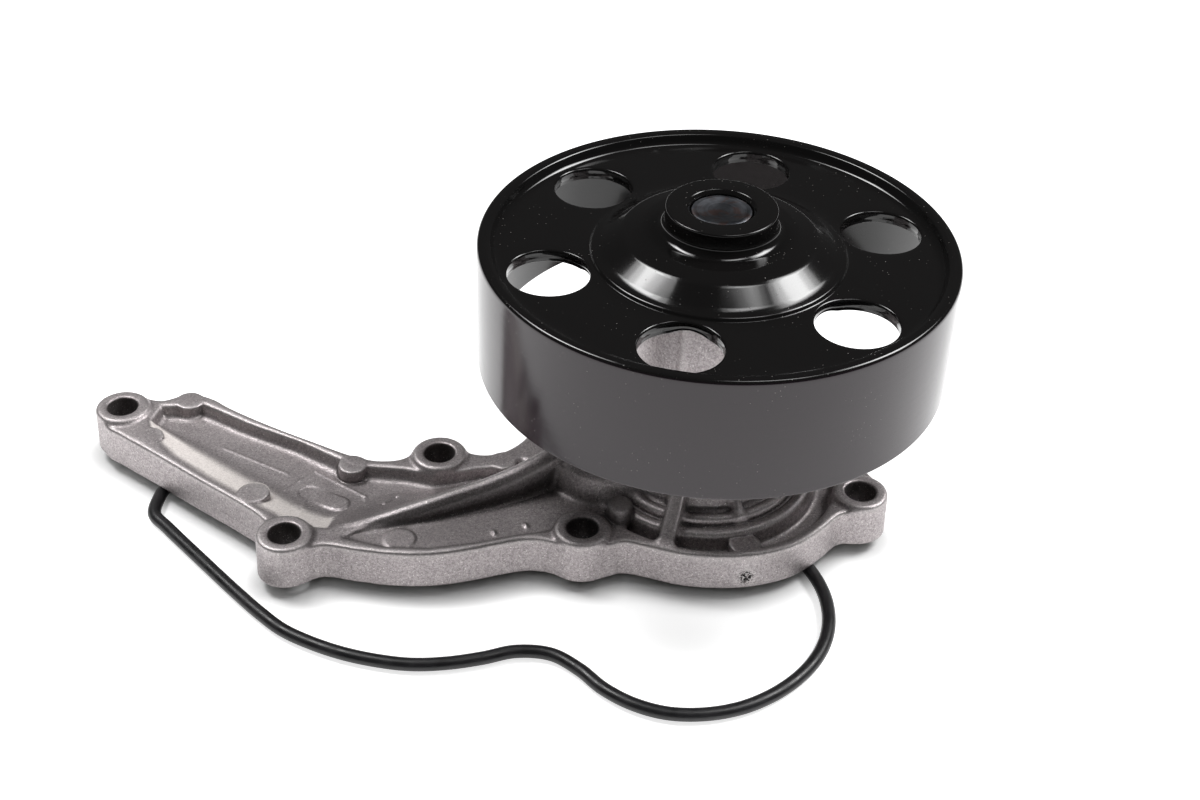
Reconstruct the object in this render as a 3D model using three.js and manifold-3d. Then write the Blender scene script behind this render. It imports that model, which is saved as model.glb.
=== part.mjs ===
// Engine coolant pump: die-cast flange housing with an arm, a sealed shaft bearing, a pressed six-hole
// pulley, a spring-loaded face seal, an impeller, and a moulded rubber gasket that lies loose on the table.
// Millimetres. +Z runs along the shaft towards the pulley, the shaft axis is x = y = 0, and z = 0 is the
// mounting plane of the flange. The arm points to -X.
import * as THREE from 'three';
import { mergeVertices } from 'three/addons/utils/BufferGeometryUtils.js';
import Module from 'manifold-3d';

const wasm = await Module();
wasm.setup();

// ---- driving dimensions ----
const GAP = 0.3;

const SHAFT_R = 7.94;
const SHAFT_END_Z = 94.7;
const BALL_PITCH_R = 10.05;
const BALL_R = 2.6;
const RACE_R = 2.9;
const BALLS_PER_ROW = 8;
const ROW_Z = [41, 62];
const RING_R = 15;
const RING_Z0 = 32;
const RING_Z1 = 71;
const RING_BORE_R = 12.4;

const PULLEY_R = 62.5;
const PULLEY_TOP_Z = 85.3;
const PULLEY_BOTTOM_Z = 50.3;
const PULLEY_WALL = 3;
const WEB_TOP_Z = 82.2;
const WEB_THICK = 3.4;
const HUB_R = 14.5;
const HUB_TOP_Z = 95.65;
const HUB_BOTTOM_Z = 75;
const WINDOW_R = 10.6;
const WINDOW_PITCH_R = 45.4;
const WINDOW_FIRST_DEG = 21;

const FLANGE_TOP = 11.5;
const BOSS_TOP = 12.8;
const BOSS_R = 7.6;
const BOLT_R = 4.25;
const BOLTS = [[-167.6, 4.1], [-73.6, -5.1], [-108.5, -44.9], [-30.3, -32.2], [44.5, -6.6], [-15.4, 42.3]];
const ARM_FLOOR_Z = 7.8;
const FRONT_FLOOR_Z = 10.4;
const MOAT_FLOOR_Z = 8;
const TOWER_TOP_Z = 72;
const TOWER_TOP_R = 20.3;
const TOWER_FOOT_R = 22.5;
const CHAMBER_R = 26.3;
const CHAMBER_ROOF_Z = 11;
const CHANNEL_ROOF_Z = 4.2;
const CUP_BORE_R = 15.2;
const DRAIN_R = 12.5;
const WEEP_R = 2.5;
const WEEP_DEG = 302;

const GROOVE_W = 3.8;
const GROOVE_DEPTH = 2.5;
const GASKET_R = 1.6;
const TABLE_Z = -3.5;

const IMPELLER_R = 24.3;
const VANES = 7;

// ---- plan curves ----
// Centre line of the gasket's groove round the coolant passage.
const GROOVE = [
  [-154.8, 0.5], [-151.5, -6.5], [-143, -12.2], [-124.6, -22.5], [-105.9, -32.6], [-96.1, -36.5],
  [-85.7, -38.4], [-75.1, -38.7], [-64.6, -37.2], [-54.6, -33.7], [-45.5, -28.3], [-37, -22],
  [-31.5, -20.2], [-25.5, -20.4], [-17.2, -24.7], [-7.6, -29.2], [2.9, -30.5], [13, -27.7],
  [21.9, -22.1], [28.8, -14], [33.7, -4.7], [36.4, 5.6], [35.9, 16.1], [32.6, 26.2],
  [26.7, 34.9], [18, 40.2], [8.5, 40.6], [0.5, 36.5], [-6, 32.4], [-13, 30.6],
  [-20, 31.6], [-28, 31.3], [-35.5, 25.8], [-41, 17], [-44.3, 6.5], [-48, -3],
  [-55.5, -10.5], [-65, -14.9], [-76, -16.6], [-88, -17.3], [-97.5, -15.2], [-109, -9.8],
  [-127, -1.2], [-141, 5], [-149, 7], [-153.6, 5],
];
// The loose gasket as it lies on the table, its far side sprung a little out of the groove's shape.
const GASKET = [
  [-151.9, -19], [-151, -25.2], [-146, -30.2], [-132.6, -42.6], [-119.1, -54.9], [-112.1, -60.9],
  [-104.8, -66.3], [-96.5, -70.1], [-87.8, -72.8], [-78.8, -74.3], [-69.6, -74.6], [-60.6, -73],
  [-52, -70.1], [-43.6, -66.5], [-34.6, -66.4], [-26.8, -70.9], [-20.1, -77.1], [-12.3, -81.7],
  [-3.5, -83.9], [5.6, -83.1], [14.2, -80], [21.6, -74.8], [28, -68.3], [33, -60.6],
  [36.1, -52.1], [37, -43], [35.7, -33.9], [32.3, -25.5], [26, -16.6], [17, -9.3],
  [5.5, -5], [-6.5, -6.5], [-15, -14], [-22, -21.5], [-31, -24.5], [-41, -26.5],
  [-50, -30.5], [-59, -34.5], [-69, -37.6], [-80, -38.8], [-91, -38.2], [-101, -36.8],
  [-111, -33], [-122, -25.2], [-134, -17.2], [-143, -11.6], [-148.3, -11.2], [-151.2, -13.6],
];
// Edge of the flange between its bolt bosses.
const OUTLINE = [
  [-171, -3.2], [-164.5, -7.8], [-152, -15.4], [-138, -24.2], [-124.5, -32.4], [-117, -37.8],
  [-110, -47], [-103.5, -49.6], [-98, -47], [-89, -47.6], [-81.4, -48], [-73, -47.5],
  [-65.4, -45.8], [-57.5, -42.8], [-50.2, -39.5], [-44.5, -37.5], [-39.5, -37.4], [-31, -39.5],
  [-23, -37], [-19, -35.2], [-12, -36.1], [-4, -37.8], [4, -37.8], [12, -36.1],
  [19, -33], [26, -28.2], [31, -24.2], [35, -19.4], [39.5, -15], [46, -13.5],
  [51, -6], [49, 1], [44.4, 8], [42.6, 17], [38.5, 28], [31.5, 38],
  [22, 45.8], [10.5, 49], [1, 48], [-6, 46.5], [-16, 49], [-25, 46],
  [-31, 41.5], [-40, 33], [-47, 21], [-50, 9], [-53, 3.2], [-57, -0.8],
  [-62, -2.4], [-67, -1.4], [-73, 1.6], [-80, -2.6], [-84, -7.4], [-90, -9.7],
  [-97, -9], [-110, -3.7], [-124, 3], [-137.7, 9.8], [-143, 13.1], [-148, 14.6],
  [-153, 13.6], [-158, 10.6], [-163, 11], [-170, 11],
];
// Rear pocket of the arm: its mouth at the rim and its floor, in step with each other.
const ARM_MOUTH = [
  [-155.5, -5.2], [-148.5, -10.4], [-138.6, -17.6], [-126.5, -25.6], [-118.5, -29.4], [-108, -33.6],
  [-100.2, -37.5], [-94, -36.6], [-86, -34.6], [-78, -31.8], [-70, -27.8], [-61, -22],
  [-53, -15.5], [-47.5, -10], [-46.5, -4.5], [-50.5, -3], [-55.5, -7.6], [-62, -9],
  [-67, -11.2], [-74, -14], [-82, -13], [-90, -14], [-97.1, -15.2], [-101, -9.8],
  [-113.8, -3.6], [-129.8, 2.6], [-141.7, 8.4], [-145.9, 10.3], [-149, 7.6], [-153, 8.2],
  [-157.5, 7.4], [-158.5, 0.5],
];
const ARM_FLOOR = [
  [-152, -1.8], [-146, -5.4], [-136.5, -11], [-124.5, -18.2], [-116.5, -23.2], [-106.5, -29.2],
  [-99, -33], [-93, -27.6], [-85.5, -21.9], [-78, -18.6], [-70.5, -15.8], [-63.5, -13.4],
  [-57, -10.6], [-52, -8], [-50, -5.6], [-52.5, -4.9], [-57, -8.6], [-63, -10],
  [-67.5, -12.2], [-74, -15], [-82, -14], [-90, -15], [-97.5, -16.2], [-102, -10.9],
  [-114.2, -4.8], [-130.2, 1.4], [-142, 7.1], [-146, 8.9], [-149, 6.6], [-152.5, 7.1],
  [-156.2, 6.2], [-156.8, 1.5],
];
// Crest of the passage roof that climbs from the front rim to the bearing tower: x, y, z.
const RIDGE = [
  [-107, -40.5, 7.6], [-98, -40, 10.2], [-90, -38.2, 12], [-80, -34, 14], [-72, -30.6, 15.6],
  [-64.5, -26.6, 16.6],
  [-57, -22.6, 17.6], [-49.5, -18, 19], [-43, -13, 20.4], [-36, -7, 21.6], [-25.5, 3.5, 23],
];

// Sections of the cast shoulder that blends the passage roof into the bearing tower: height, loop.
const SHOULDER = [
  [6, [[-46, -8], [-36, -19], [-25, -21], [-14, -19], [-8, -6], [-12, 14], [-24, 24], [-36, 20], [-45, 8]]],
  [17, [[-42, -8], [-34, -15], [-25, -18], [-16, -17], [-9, -6], [-12, 13], [-23, 20], [-33, 16], [-41, 6]]],
  [25, [[-31, -6], [-27, -11], [-22, -14], [-14, -15], [-8, -6], [-10, 12], [-18, 15], [-25, 11], [-30, 4]]],
  [34, [[-21, -4], [-20, -7], [-17, -10], [-12, -12], [-8, -6], [-9, 10], [-14, 11], [-18, 8], [-21, 3]]],
];
// Ejector pads level with the rim: x, y, radius.
const PADS = [
  [-148.6, 11.2, 4.2], [-94.6, -11.6, 4.2], [-55.6, -4.6, 4], [-156, -5.4, 4], [-120.4, -28, 4.6],
  [13.3, -31.4, 4.4],
];

// ---- solids ----
function solidOf(geometry) {
  const g = geometry.index ? geometry.clone() : mergeVertices(geometry.clone());
  g.deleteAttribute('normal');
  g.deleteAttribute('uv');
  const m = mergeVertices(g, 1e-4);
  const mesh = new wasm.Mesh({
    numProp: 3,
    vertProperties: new Float32Array(m.attributes.position.array),
    triVerts: new Uint32Array(m.index.array),
  });
  mesh.merge();
  return new wasm.Manifold(mesh);
}

function geometryOf(solid) {
  const mesh = solid.getMesh();
  const g = new THREE.BufferGeometry();
  g.setAttribute('position', new THREE.BufferAttribute(new Float32Array(mesh.vertProperties), 3));
  g.setIndex(new THREE.BufferAttribute(new Uint32Array(mesh.triVerts), 1));
  g.computeVertexNormals();
  return g;
}

function join(solids) {
  return solids.reduce((a, b) => a.add(b));
}

function cut(solid, tools) {
  return tools.reduce((a, b) => a.subtract(b), solid);
}

// A profile of [radius, z] corners turned about the shaft axis.
function turned(profile, segments) {
  const points = profile.map(([r, z]) => new THREE.Vector2(r, z));
  points.push(points[0].clone());
  const area = points.reduce((a, p, i) => {
    const q = points[(i + 1) % points.length];
    return a + p.x * q.y - q.x * p.y;
  }, 0);
  if (area < 0) {
    points.reverse();
  }
  const g = new THREE.LatheGeometry(points, segments);
  g.rotateX(Math.PI / 2);
  return g;
}

function turnedSolid(profile, segments = 24) {
  return solidOf(turned(profile, segments));
}

// A plain round bar from z0 to z1, upright at x, y.
function bar(r0, r1, z0, z1, x = 0, y = 0, segments = 24) {
  const g = new THREE.CylinderGeometry(r1, r0, z1 - z0, segments);
  g.rotateX(Math.PI / 2);
  g.translate(x, y, (z0 + z1) / 2);
  return solidOf(g);
}

function plate(points, z0, z1) {
  const shape = new THREE.Shape(points.map(([x, y]) => new THREE.Vector2(x, y)));
  const g = new THREE.ExtrudeGeometry(shape, { depth: z1 - z0, bevelEnabled: false });
  g.translate(0, 0, z0);
  return solidOf(g);
}

// Skins a row of loops that all have the same number of points, and closes both ends.
function skin(loops) {
  const n = loops[0].length;
  const position = [];
  const index = [];
  loops.forEach((loop) => loop.forEach((p) => position.push(p[0], p[1], p[2])));
  for (let k = 0; k + 1 < loops.length; k += 1) {
    for (let i = 0; i < n; i += 1) {
      const j = (i + 1) % n;
      const a = k * n + i;
      const b = k * n + j;
      index.push(a, b, b + n, a, b + n, a + n);
    }
  }
  const cap = (loop, base, flip) => {
    const corner = loop.map((p) => new THREE.Vector3(...p));
    const u = corner[1].clone().sub(corner[0]);
    const normal = new THREE.Vector3();
    corner.forEach((c, i) => normal.add(c.clone().cross(corner[(i + 1) % n])));
    normal.normalize();
    u.addScaledVector(normal, -u.dot(normal)).normalize();
    const v = new THREE.Vector3().crossVectors(normal, u);
    const flat = corner.map((c) => new THREE.Vector2(c.dot(u), c.dot(v)));
    THREE.ShapeUtils.triangulateShape(flat, []).forEach(([a, b, c]) => {
      index.push(...(flip ? [base + a, base + c, base + b] : [base + a, base + b, base + c]));
    });
  };
  cap(loops[0], 0, true);
  cap(loops[loops.length - 1], (loops.length - 1) * n, false);
  const g = new THREE.BufferGeometry();
  g.setAttribute('position', new THREE.BufferAttribute(new Float32Array(position), 3));
  g.setIndex(index);
  return g;
}

function closedCurve(points, steps) {
  const knots = points.map(([x, y]) => new THREE.Vector3(x, y, 0));
  const curve = new THREE.CatmullRomCurve3(knots, true, 'centripetal');
  return curve.getSpacedPoints(steps).slice(0, steps).map((p) => [p.x, p.y]);
}

// Moves a closed anticlockwise loop outwards by d along its own normals.
function offset(loop, d) {
  const n = loop.length;
  return loop.map((p, i) => {
    const a = loop[(i + n - 1) % n];
    const b = loop[(i + 1) % n];
    const tx = b[0] - a[0];
    const ty = b[1] - a[1];
    const l = Math.hypot(tx, ty);
    return [p[0] + (d * ty) / l, p[1] - (d * tx) / l];
  });
}

function polar(r, deg, z = 0) {
  const a = (deg * Math.PI) / 180;
  return [r * Math.cos(a), r * Math.sin(a), z];
}

// ---- housing ----
const grooveLine = closedCurve(GROOVE, 84);
const flangeLine = closedCurve(OUTLINE, 120);

function passageRoof(lift, wide, low) {
  const loops = RIDGE.map(([x, y, z], i) => {
    const a = RIDGE[Math.max(i - 1, 0)];
    const b = RIDGE[Math.min(i + 1, RIDGE.length - 1)];
    const l = Math.hypot(b[0] - a[0], b[1] - a[1]);
    const nx = -(b[1] - a[1]) / l;
    const ny = (b[0] - a[0]) / l;
    const top = z + lift;
    const rear = 9.6 + 0.35 * i + wide;
    const front = 1.2 + wide;
    const at = (side, height) => [x + nx * side, y + ny * side, height];
    return [
      at(-front - 1.2, low), at(rear + 4, low), at(rear, 7.2 + lift),
      at(rear * 0.55, (top + 7.2 + lift) / 2), at(2.4, top - 0.5), at(0.8, top), at(-front * 0.5, top - 0.7),
    ];
  });
  return solidOf(skin(loops));
}

function radialRib(deg, thick, r0, z0, r1, z1) {
  const half = thick / 2;
  const g = new THREE.ExtrudeGeometry(
    new THREE.Shape([
      new THREE.Vector2(r0, 6), new THREE.Vector2(r1, 6), new THREE.Vector2(r1, z1),
      new THREE.Vector2(r0, z0),
    ]),
    { depth: thick, bevelEnabled: false },
  );
  g.translate(0, 0, -half);
  g.rotateX(Math.PI / 2);
  g.rotateZ((deg * Math.PI) / 180);
  return solidOf(g);
}

function housing() {
  const flange = plate(flangeLine, 0, FLANGE_TOP);
  const over = (FLANGE_TOP + 0.7 - ARM_FLOOR_Z) / (FLANGE_TOP - ARM_FLOOR_Z);
  const armPocket = solidOf(skin([
    ARM_FLOOR.map(([x, y]) => [x, y, ARM_FLOOR_Z]),
    ARM_MOUTH.map(([x, y], i) => {
      const [fx, fy] = ARM_FLOOR[i];
      return [fx + (x - fx) * over, fy + (y - fy) * over, FLANGE_TOP + 0.7];
    }),
  ]));
  const frontPocket = plate([
    [-93, -43], [-82, -45.2], [-70, -44.3], [-58, -40.4], [-48, -36], [-39.5, -33.6], [-35, -24], [-29, -14],
    [-34, -6], [-46, -13], [-59, -21], [-72, -28.5], [-84, -34.5],
  ], FRONT_FLOOR_Z, FLANGE_TOP + 2);
  const moat = cut(bar(34.4, 34.8, MOAT_FLOOR_Z, 16, 0, 0, 48), [
    plate([[-60, -40], [-19, -40], [-19, 60], [-60, 60]], 0, 20),
  ]);
  const moatRear = cut(bar(39, 39.5, MOAT_FLOOR_Z, 16, -3.5, 9, 48), [
    plate([[-60, -40], [-24, -40], [-24, 60], [-60, 60]], 0, 20),
    plate([[-60, -60], [60, -60], [60, -4], [-60, -4]], 0, 20),
    bar(12, 12, 0, 20, BOLTS[5][0], BOLTS[5][1]),
  ]);
  const dome = turnedSolid([
    [10, 6], [32.4, 6], [32, 9.5], [31, 12.6], [30.6, 13], [27.9, 13.2], [27.4, 14.8], [25.4, 14.9],
    [24.4, 14.2], [TOWER_FOOT_R, 15.4], [TOWER_TOP_R + 0.6, 40], [TOWER_TOP_R, TOWER_TOP_Z - 1],
    [TOWER_TOP_R - 1, TOWER_TOP_Z], [10, TOWER_TOP_Z],
  ], 48);
  const shoulder = solidOf(skin(SHOULDER.map(([z, loop]) => (
    closedCurve(loop, 20).map(([x, y]) => [x, y, z])
  ))));
  const ribs = [
    radialRib(257, 4.2, 18, 30, 35.5, FLANGE_TOP + 0.3),
    radialRib(292, 3, 18, 26, 31, 12.4),
    radialRib(20, 4.2, 18, 30, 40, FLANGE_TOP),
    radialRib(75, 4.2, 18, 30, 42, FLANGE_TOP),
    radialRib(130, 4.2, 18, 30, 40, FLANGE_TOP),
  ];
  const seamLoop = (r, z) => [
    polar(17, 253.6, z), polar(17, 247.6, z), polar(r, 248.9, z), polar(r, 252.3, z),
  ];
  const seam = solidOf(skin([
    seamLoop(TOWER_FOOT_R + 0.2, 16), seamLoop(TOWER_TOP_R - 0.6, TOWER_TOP_Z - 1),
  ]));
  const bosses = BOLTS.map(([x, y]) => bar(BOSS_R + 0.4, BOSS_R - 0.1, 0, BOSS_TOP, x, y, 28));
  const pads = PADS.map(([x, y, r]) => bar(r, r, 5, FLANGE_TOP + 0.06, x, y, 16));
  const frontPad = bar(4.4, 4.2, 5, FRONT_FLOOR_Z + 0.5, -78.3, -41, 16);
  const pin = bar(3.6, 3.4, 6, 16, -21, -24.6, 16);
  let body = cut(flange, [armPocket, frontPocket, moat, moatRear]);
  body = join([
    body, dome, shoulder, passageRoof(0, 0, 5), ...ribs, seam, ...bosses, ...pads, frontPad, pin,
  ]);

  const inner = offset(grooveLine, -4.6);
  const passage = plate(inner, -1, CHANNEL_ROOF_Z);
  const duct = passageRoof(-3.4, -3, -1).intersect(plate(offset(grooveLine, -5), -1, 40));
  const chamber = bar(CHAMBER_R, CHAMBER_R, -1, CHAMBER_ROOF_Z, 0, 0, 40);
  const edge = (d) => offset(grooveLine, d).map(([x, y]) => new THREE.Vector2(x, y));
  const ring = new THREE.Shape(edge(GROOVE_W / 2));
  ring.holes.push(new THREE.Path(edge(-GROOVE_W / 2)));
  const groove = new THREE.ExtrudeGeometry(ring, { depth: GROOVE_DEPTH + 1, bevelEnabled: false });
  groove.translate(0, 0, -1);
  const weep = new THREE.CylinderGeometry(WEEP_R, WEEP_R, 20, 12);
  weep.rotateZ(Math.PI / 2);
  weep.translate(20, 0, 28.4);
  weep.rotateZ((WEEP_DEG * Math.PI) / 180);
  return cut(body, [
    passage, duct, chamber, solidOf(groove),
    bar(RING_R + GAP, RING_R + GAP, RING_Z0 - GAP, TOWER_TOP_Z + 1, 0, 0, 32),
    bar(DRAIN_R, DRAIN_R, 20, 40, 0, 0, 32),
    bar(CUP_BORE_R, CUP_BORE_R, 5, 25.2, 0, 0, 32),
    bar(17.6, 17.6, 5, 15.7, 0, 0, 32),
    solidOf(weep),
    ...BOLTS.map(([x, y]) => bar(BOLT_R, BOLT_R, -1, BOSS_TOP + 1, x, y, 24)),
  ]);
}

// ---- pulley ----
function pulley() {
  const under = WEB_TOP_Z - WEB_THICK;
  const inner = PULLEY_R - PULLEY_WALL;
  const body = turnedSolid([
    [SHAFT_R + GAP, HUB_BOTTOM_Z], [SHAFT_R + GAP, HUB_TOP_Z - 1], [9.2, HUB_TOP_Z],
    [HUB_R - 0.4, HUB_TOP_Z], [HUB_R, HUB_TOP_Z - 0.4], [HUB_R, 90.6], [15.4, 89.5], [17.4, 89],
    [22, 88.4], [26.3, 87.5], [29.4, 86.3], [32.4, 84.9], [33, 84.5], [33.7, 83], [34.6, WEB_TOP_Z],
    [57, WEB_TOP_Z], [58.4, 82.9], [59.4, 84.7], [60.2, PULLEY_TOP_Z], [61.3, PULLEY_TOP_Z],
    [62.2, 85], [PULLEY_R, 84.1], [PULLEY_R, PULLEY_BOTTOM_Z + 0.4],
    [PULLEY_R - 0.4, PULLEY_BOTTOM_Z], [inner, PULLEY_BOTTOM_Z], [inner, 77.2], [inner - 0.7, under - 0.4],
    [inner - 2.2, under], [36.5, under], [34, 79.6], [31.5, 81.4], [27, 83.6], [17.5, 85], [14, 83.4],
    [13.4, HUB_BOTTOM_Z],
  ], 48);
  const windows = [0, 1, 2, 3, 4, 5].map((i) => {
    const [x, y] = polar(WINDOW_PITCH_R, WINDOW_FIRST_DEG + 60 * i);
    return bar(WINDOW_R, WINDOW_R, 70, 86, x, y, 24);
  });
  return cut(body, windows);
}

// ---- shaft bearing ----
function arc(cx, cz, r, from, to, steps) {
  return Array.from({ length: steps + 1 }, (_, i) => {
    const a = ((from + ((to - from) * i) / steps) * Math.PI) / 180;
    return [cx + r * Math.cos(a), cz + r * Math.sin(a)];
  });
}

function shaft() {
  const dip = (Math.asin((BALL_PITCH_R - SHAFT_R) / RACE_R) * 180) / Math.PI;
  const profile = [[0, 0], [SHAFT_R - 0.5, 0], [SHAFT_R, 0.5]];
  ROW_Z.forEach((z) => profile.push(...arc(BALL_PITCH_R, z, RACE_R, 270 - dip, 90 + dip, 4)));
  profile.push([SHAFT_R, SHAFT_END_Z - 0.4], [SHAFT_R - 0.4, SHAFT_END_Z], [0, SHAFT_END_Z]);
  const g = new THREE.LatheGeometry(profile.map(([r, z]) => new THREE.Vector2(r, z)), 32);
  g.rotateX(Math.PI / 2);
  return solidOf(g);
}

function outerRing() {
  const dip = (Math.asin((RING_BORE_R - BALL_PITCH_R) / RACE_R) * 180) / Math.PI;
  const profile = [
    [RING_R - 0.5, RING_Z0], [RING_R, RING_Z0 + 0.5], [RING_R, RING_Z1 - 0.5], [RING_R - 0.5, RING_Z1],
    [RING_BORE_R, RING_Z1],
  ];
  [...ROW_Z].reverse().forEach((z) => {
    profile.push(...arc(BALL_PITCH_R, z, RACE_R, 90 - dip, dip - 90, 4));
  });
  profile.push([RING_BORE_R, RING_Z0]);
  return turnedSolid(profile, 32);
}

function cage(z) {
  const ring = turnedSolid([[8.9, z - 4], [11.3, z - 4], [11.3, z + 4], [8.9, z + 4]], 32);
  return cut(ring, Array.from({ length: BALLS_PER_ROW }, (_, i) => {
    const pocket = new THREE.CylinderGeometry(2.95, 2.95, 8, 12);
    pocket.rotateZ(Math.PI / 2);
    pocket.translate(BALL_PITCH_R, 0, z);
    pocket.rotateZ((2 * Math.PI * i) / BALLS_PER_ROW);
    return solidOf(pocket);
  }));
}

function ball(z, i) {
  const g = new THREE.SphereGeometry(BALL_R, 8, 6);
  const [x, y] = polar(BALL_PITCH_R, (360 * i) / BALLS_PER_ROW);
  g.translate(x, y, z);
  return solidOf(g);
}

// ---- impeller ----
function impeller() {
  const disc = turnedSolid([
    [SHAFT_R + GAP, 1.2], [11.4, 1.2], [12, 1.8], [12.4, 6.2], [14, 7.6], [IMPELLER_R, 8], [IMPELLER_R, 9.6],
    [12, 9.6], [12, 10], [SHAFT_R + GAP, 10],
  ], 40);
  const vanes = Array.from({ length: VANES }, (_, k) => {
    const turn = (360 * k) / VANES;
    const line = [0, 1, 2, 3, 4].map((i) => polar(11.2 + 3.1 * i, turn - 11 * i));
    const side = (t) => line.map(([x, y], i) => {
      const [ax, ay] = line[Math.max(i - 1, 0)];
      const [bx, by] = line[Math.min(i + 1, 4)];
      const l = Math.hypot(bx - ax, by - ay);
      return [x - (t * (by - ay)) / l, y + (t * (bx - ax)) / l];
    });
    return plate([...side(-0.9), ...side(0.9).reverse()], 1.4, 8.6);
  });
  return join([disc, ...vanes]);
}

// ---- face seal ----
function spring() {
  const turns = 3;
  const path = new THREE.CatmullRomCurve3(Array.from({ length: turns * 12 + 1 }, (_, i) => {
    const a = (2 * Math.PI * i) / 12;
    return new THREE.Vector3(12.2 * Math.cos(a), 12.2 * Math.sin(a), 19.5 + (3.4 * i) / (turns * 12));
  }));
  const wire = new THREE.Shape(Array.from({ length: 6 }, (_, i) => {
    const a = (Math.PI * i) / 3;
    return new THREE.Vector2(0.5 * Math.cos(a), 0.5 * Math.sin(a));
  }));
  const g = new THREE.ExtrudeGeometry(wire, { steps: turns * 14, extrudePath: path, bevelEnabled: false });
  return solidOf(g);
}

// ---- gasket ----
function gasket() {
  const loop = closedCurve(GASKET, 90);
  const n = loop.length;
  const sides = 6;
  const position = [];
  const index = [];
  const z = TABLE_Z + GASKET_R;
  loop.forEach((p, i) => {
    const a = loop[(i + n - 1) % n];
    const b = loop[(i + 1) % n];
    const l = Math.hypot(b[0] - a[0], b[1] - a[1]);
    const nx = (b[1] - a[1]) / l;
    const ny = -(b[0] - a[0]) / l;
    for (let k = 0; k < sides; k += 1) {
      const t = (2 * Math.PI * (k + 0.5)) / sides;
      const w = GASKET_R * 1.1;
      position.push(p[0] + nx * w * Math.cos(t), p[1] + ny * w * Math.cos(t), z + GASKET_R * Math.sin(t));
    }
  });
  for (let i = 0; i < n; i += 1) {
    for (let k = 0; k < sides; k += 1) {
      const a = i * sides + k;
      const b = i * sides + ((k + 1) % sides);
      const c = ((i + 1) % n) * sides + ((k + 1) % sides);
      const d = ((i + 1) % n) * sides + k;
      index.push(a, c, b, a, d, c);
    }
  }
  const g = new THREE.BufferGeometry();
  g.setAttribute('position', new THREE.BufferAttribute(new Float32Array(position), 3));
  g.setIndex(index);
  return solidOf(g);
}

// ---- materials ----
const castAluminium = new THREE.MeshStandardMaterial({ color: 0xa9a4a3, roughness: 0.55, metalness: 0.85 });
const blackCoat = new THREE.MeshStandardMaterial({ color: 0x0b0b0c, roughness: 0.18, metalness: 0.3 });
const bearingSteel = new THREE.MeshStandardMaterial({ color: 0x8e9296, roughness: 0.25, metalness: 1 });
const darkSteel = new THREE.MeshStandardMaterial({ color: 0x4a4d54, roughness: 0.35, metalness: 0.9 });
const blackRubber = new THREE.MeshStandardMaterial({ color: 0x1a1b1d, roughness: 0.6, metalness: 0 });
const nylon = new THREE.MeshStandardMaterial({ color: 0xc9b991, roughness: 0.6, metalness: 0 });
const carbon = new THREE.MeshStandardMaterial({ color: 0x26262a, roughness: 0.45, metalness: 0.1 });
const ceramic = new THREE.MeshStandardMaterial({ color: 0x3b3f45, roughness: 0.3, metalness: 0 });
const stainless = new THREE.MeshStandardMaterial({ color: 0xb9bcc0, roughness: 0.3, metalness: 1 });

// ---- assembly ----
const pump = new THREE.Group();

function add(name, solid, material) {
  const mesh = new THREE.Mesh(geometryOf(solid), material);
  mesh.name = name;
  pump.add(mesh);
}

add('housing', housing(), castAluminium);
add('pulley', pulley(), blackCoat);
add('bearing_shaft', shaft(), darkSteel);
add('bearing_outer_ring', outerRing(), bearingSteel);
ROW_Z.forEach((z, row) => {
  const side = row === 0 ? 'rear' : 'front';
  add(`cage_${side}`, cage(z), nylon);
  for (let i = 0; i < BALLS_PER_ROW; i += 1) {
    add(`ball_${side}_${i + 1}`, ball(z, i), bearingSteel);
  }
});
const BORE = SHAFT_R + GAP;
const lip = (z) => [[BORE, z], [12.05, z], [12.05, z + 1.6], [10, z + 1.6], [9, z + 1], [BORE, z + 0.8]];
add('bearing_seal_rear', turnedSolid(lip(33)), blackRubber);
add('bearing_seal_front', turnedSolid(lip(68.6)), blackRubber);
add('slinger', turnedSolid([
  [BORE, 27.2], [11, 27.2], [11, 28], [BORE + 0.9, 28], [BORE + 0.9, 29.6], [BORE, 29.6],
]), darkSteel);
add('impeller', impeller(), stainless);
add('seat_boot', turnedSolid([
  [BORE, 10.3], [12.8, 10.3], [12.8, 11.2], [9.5, 11.2], [9.5, 14.3], [BORE, 14.3],
]), blackRubber);
add('seat_ring', turnedSolid([[9.8, 11.5], [12.8, 11.5], [12.8, 14.5], [9.8, 14.5]]), ceramic);
add('seal_face', turnedSolid([
  [9.6, 15.3], [10.2, 14.8], [12, 14.8], [12.4, 15.8], [12.9, 15.8], [12.9, 18.4], [9.6, 18.4],
]), carbon);
add('seal_bellows', turnedSolid([
  [9.3, 18.7], [10.9, 18.7], [10.9, 19.5], [10.1, 20.2], [11, 21.2], [10.1, 22.2], [10.9, 22.9],
  [10.9, 23.7], [9.3, 23.7],
]), blackRubber);
add('seal_spring', spring(), stainless);
add('seal_cup', turnedSolid([
  [9.2, 24], [14.3, 24], [14.3, 14.6], [17.3, 14.6], [17.3, 15.3], [14.9, 15.3], [14.9, 24.8],
  [9.2, 24.8],
]), stainless);
add('gasket', gasket(), blackRubber);

export default pump;
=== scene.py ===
import math

import bmesh
import bpy
import numpy as np
from mathutils import Matrix, Vector


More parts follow.
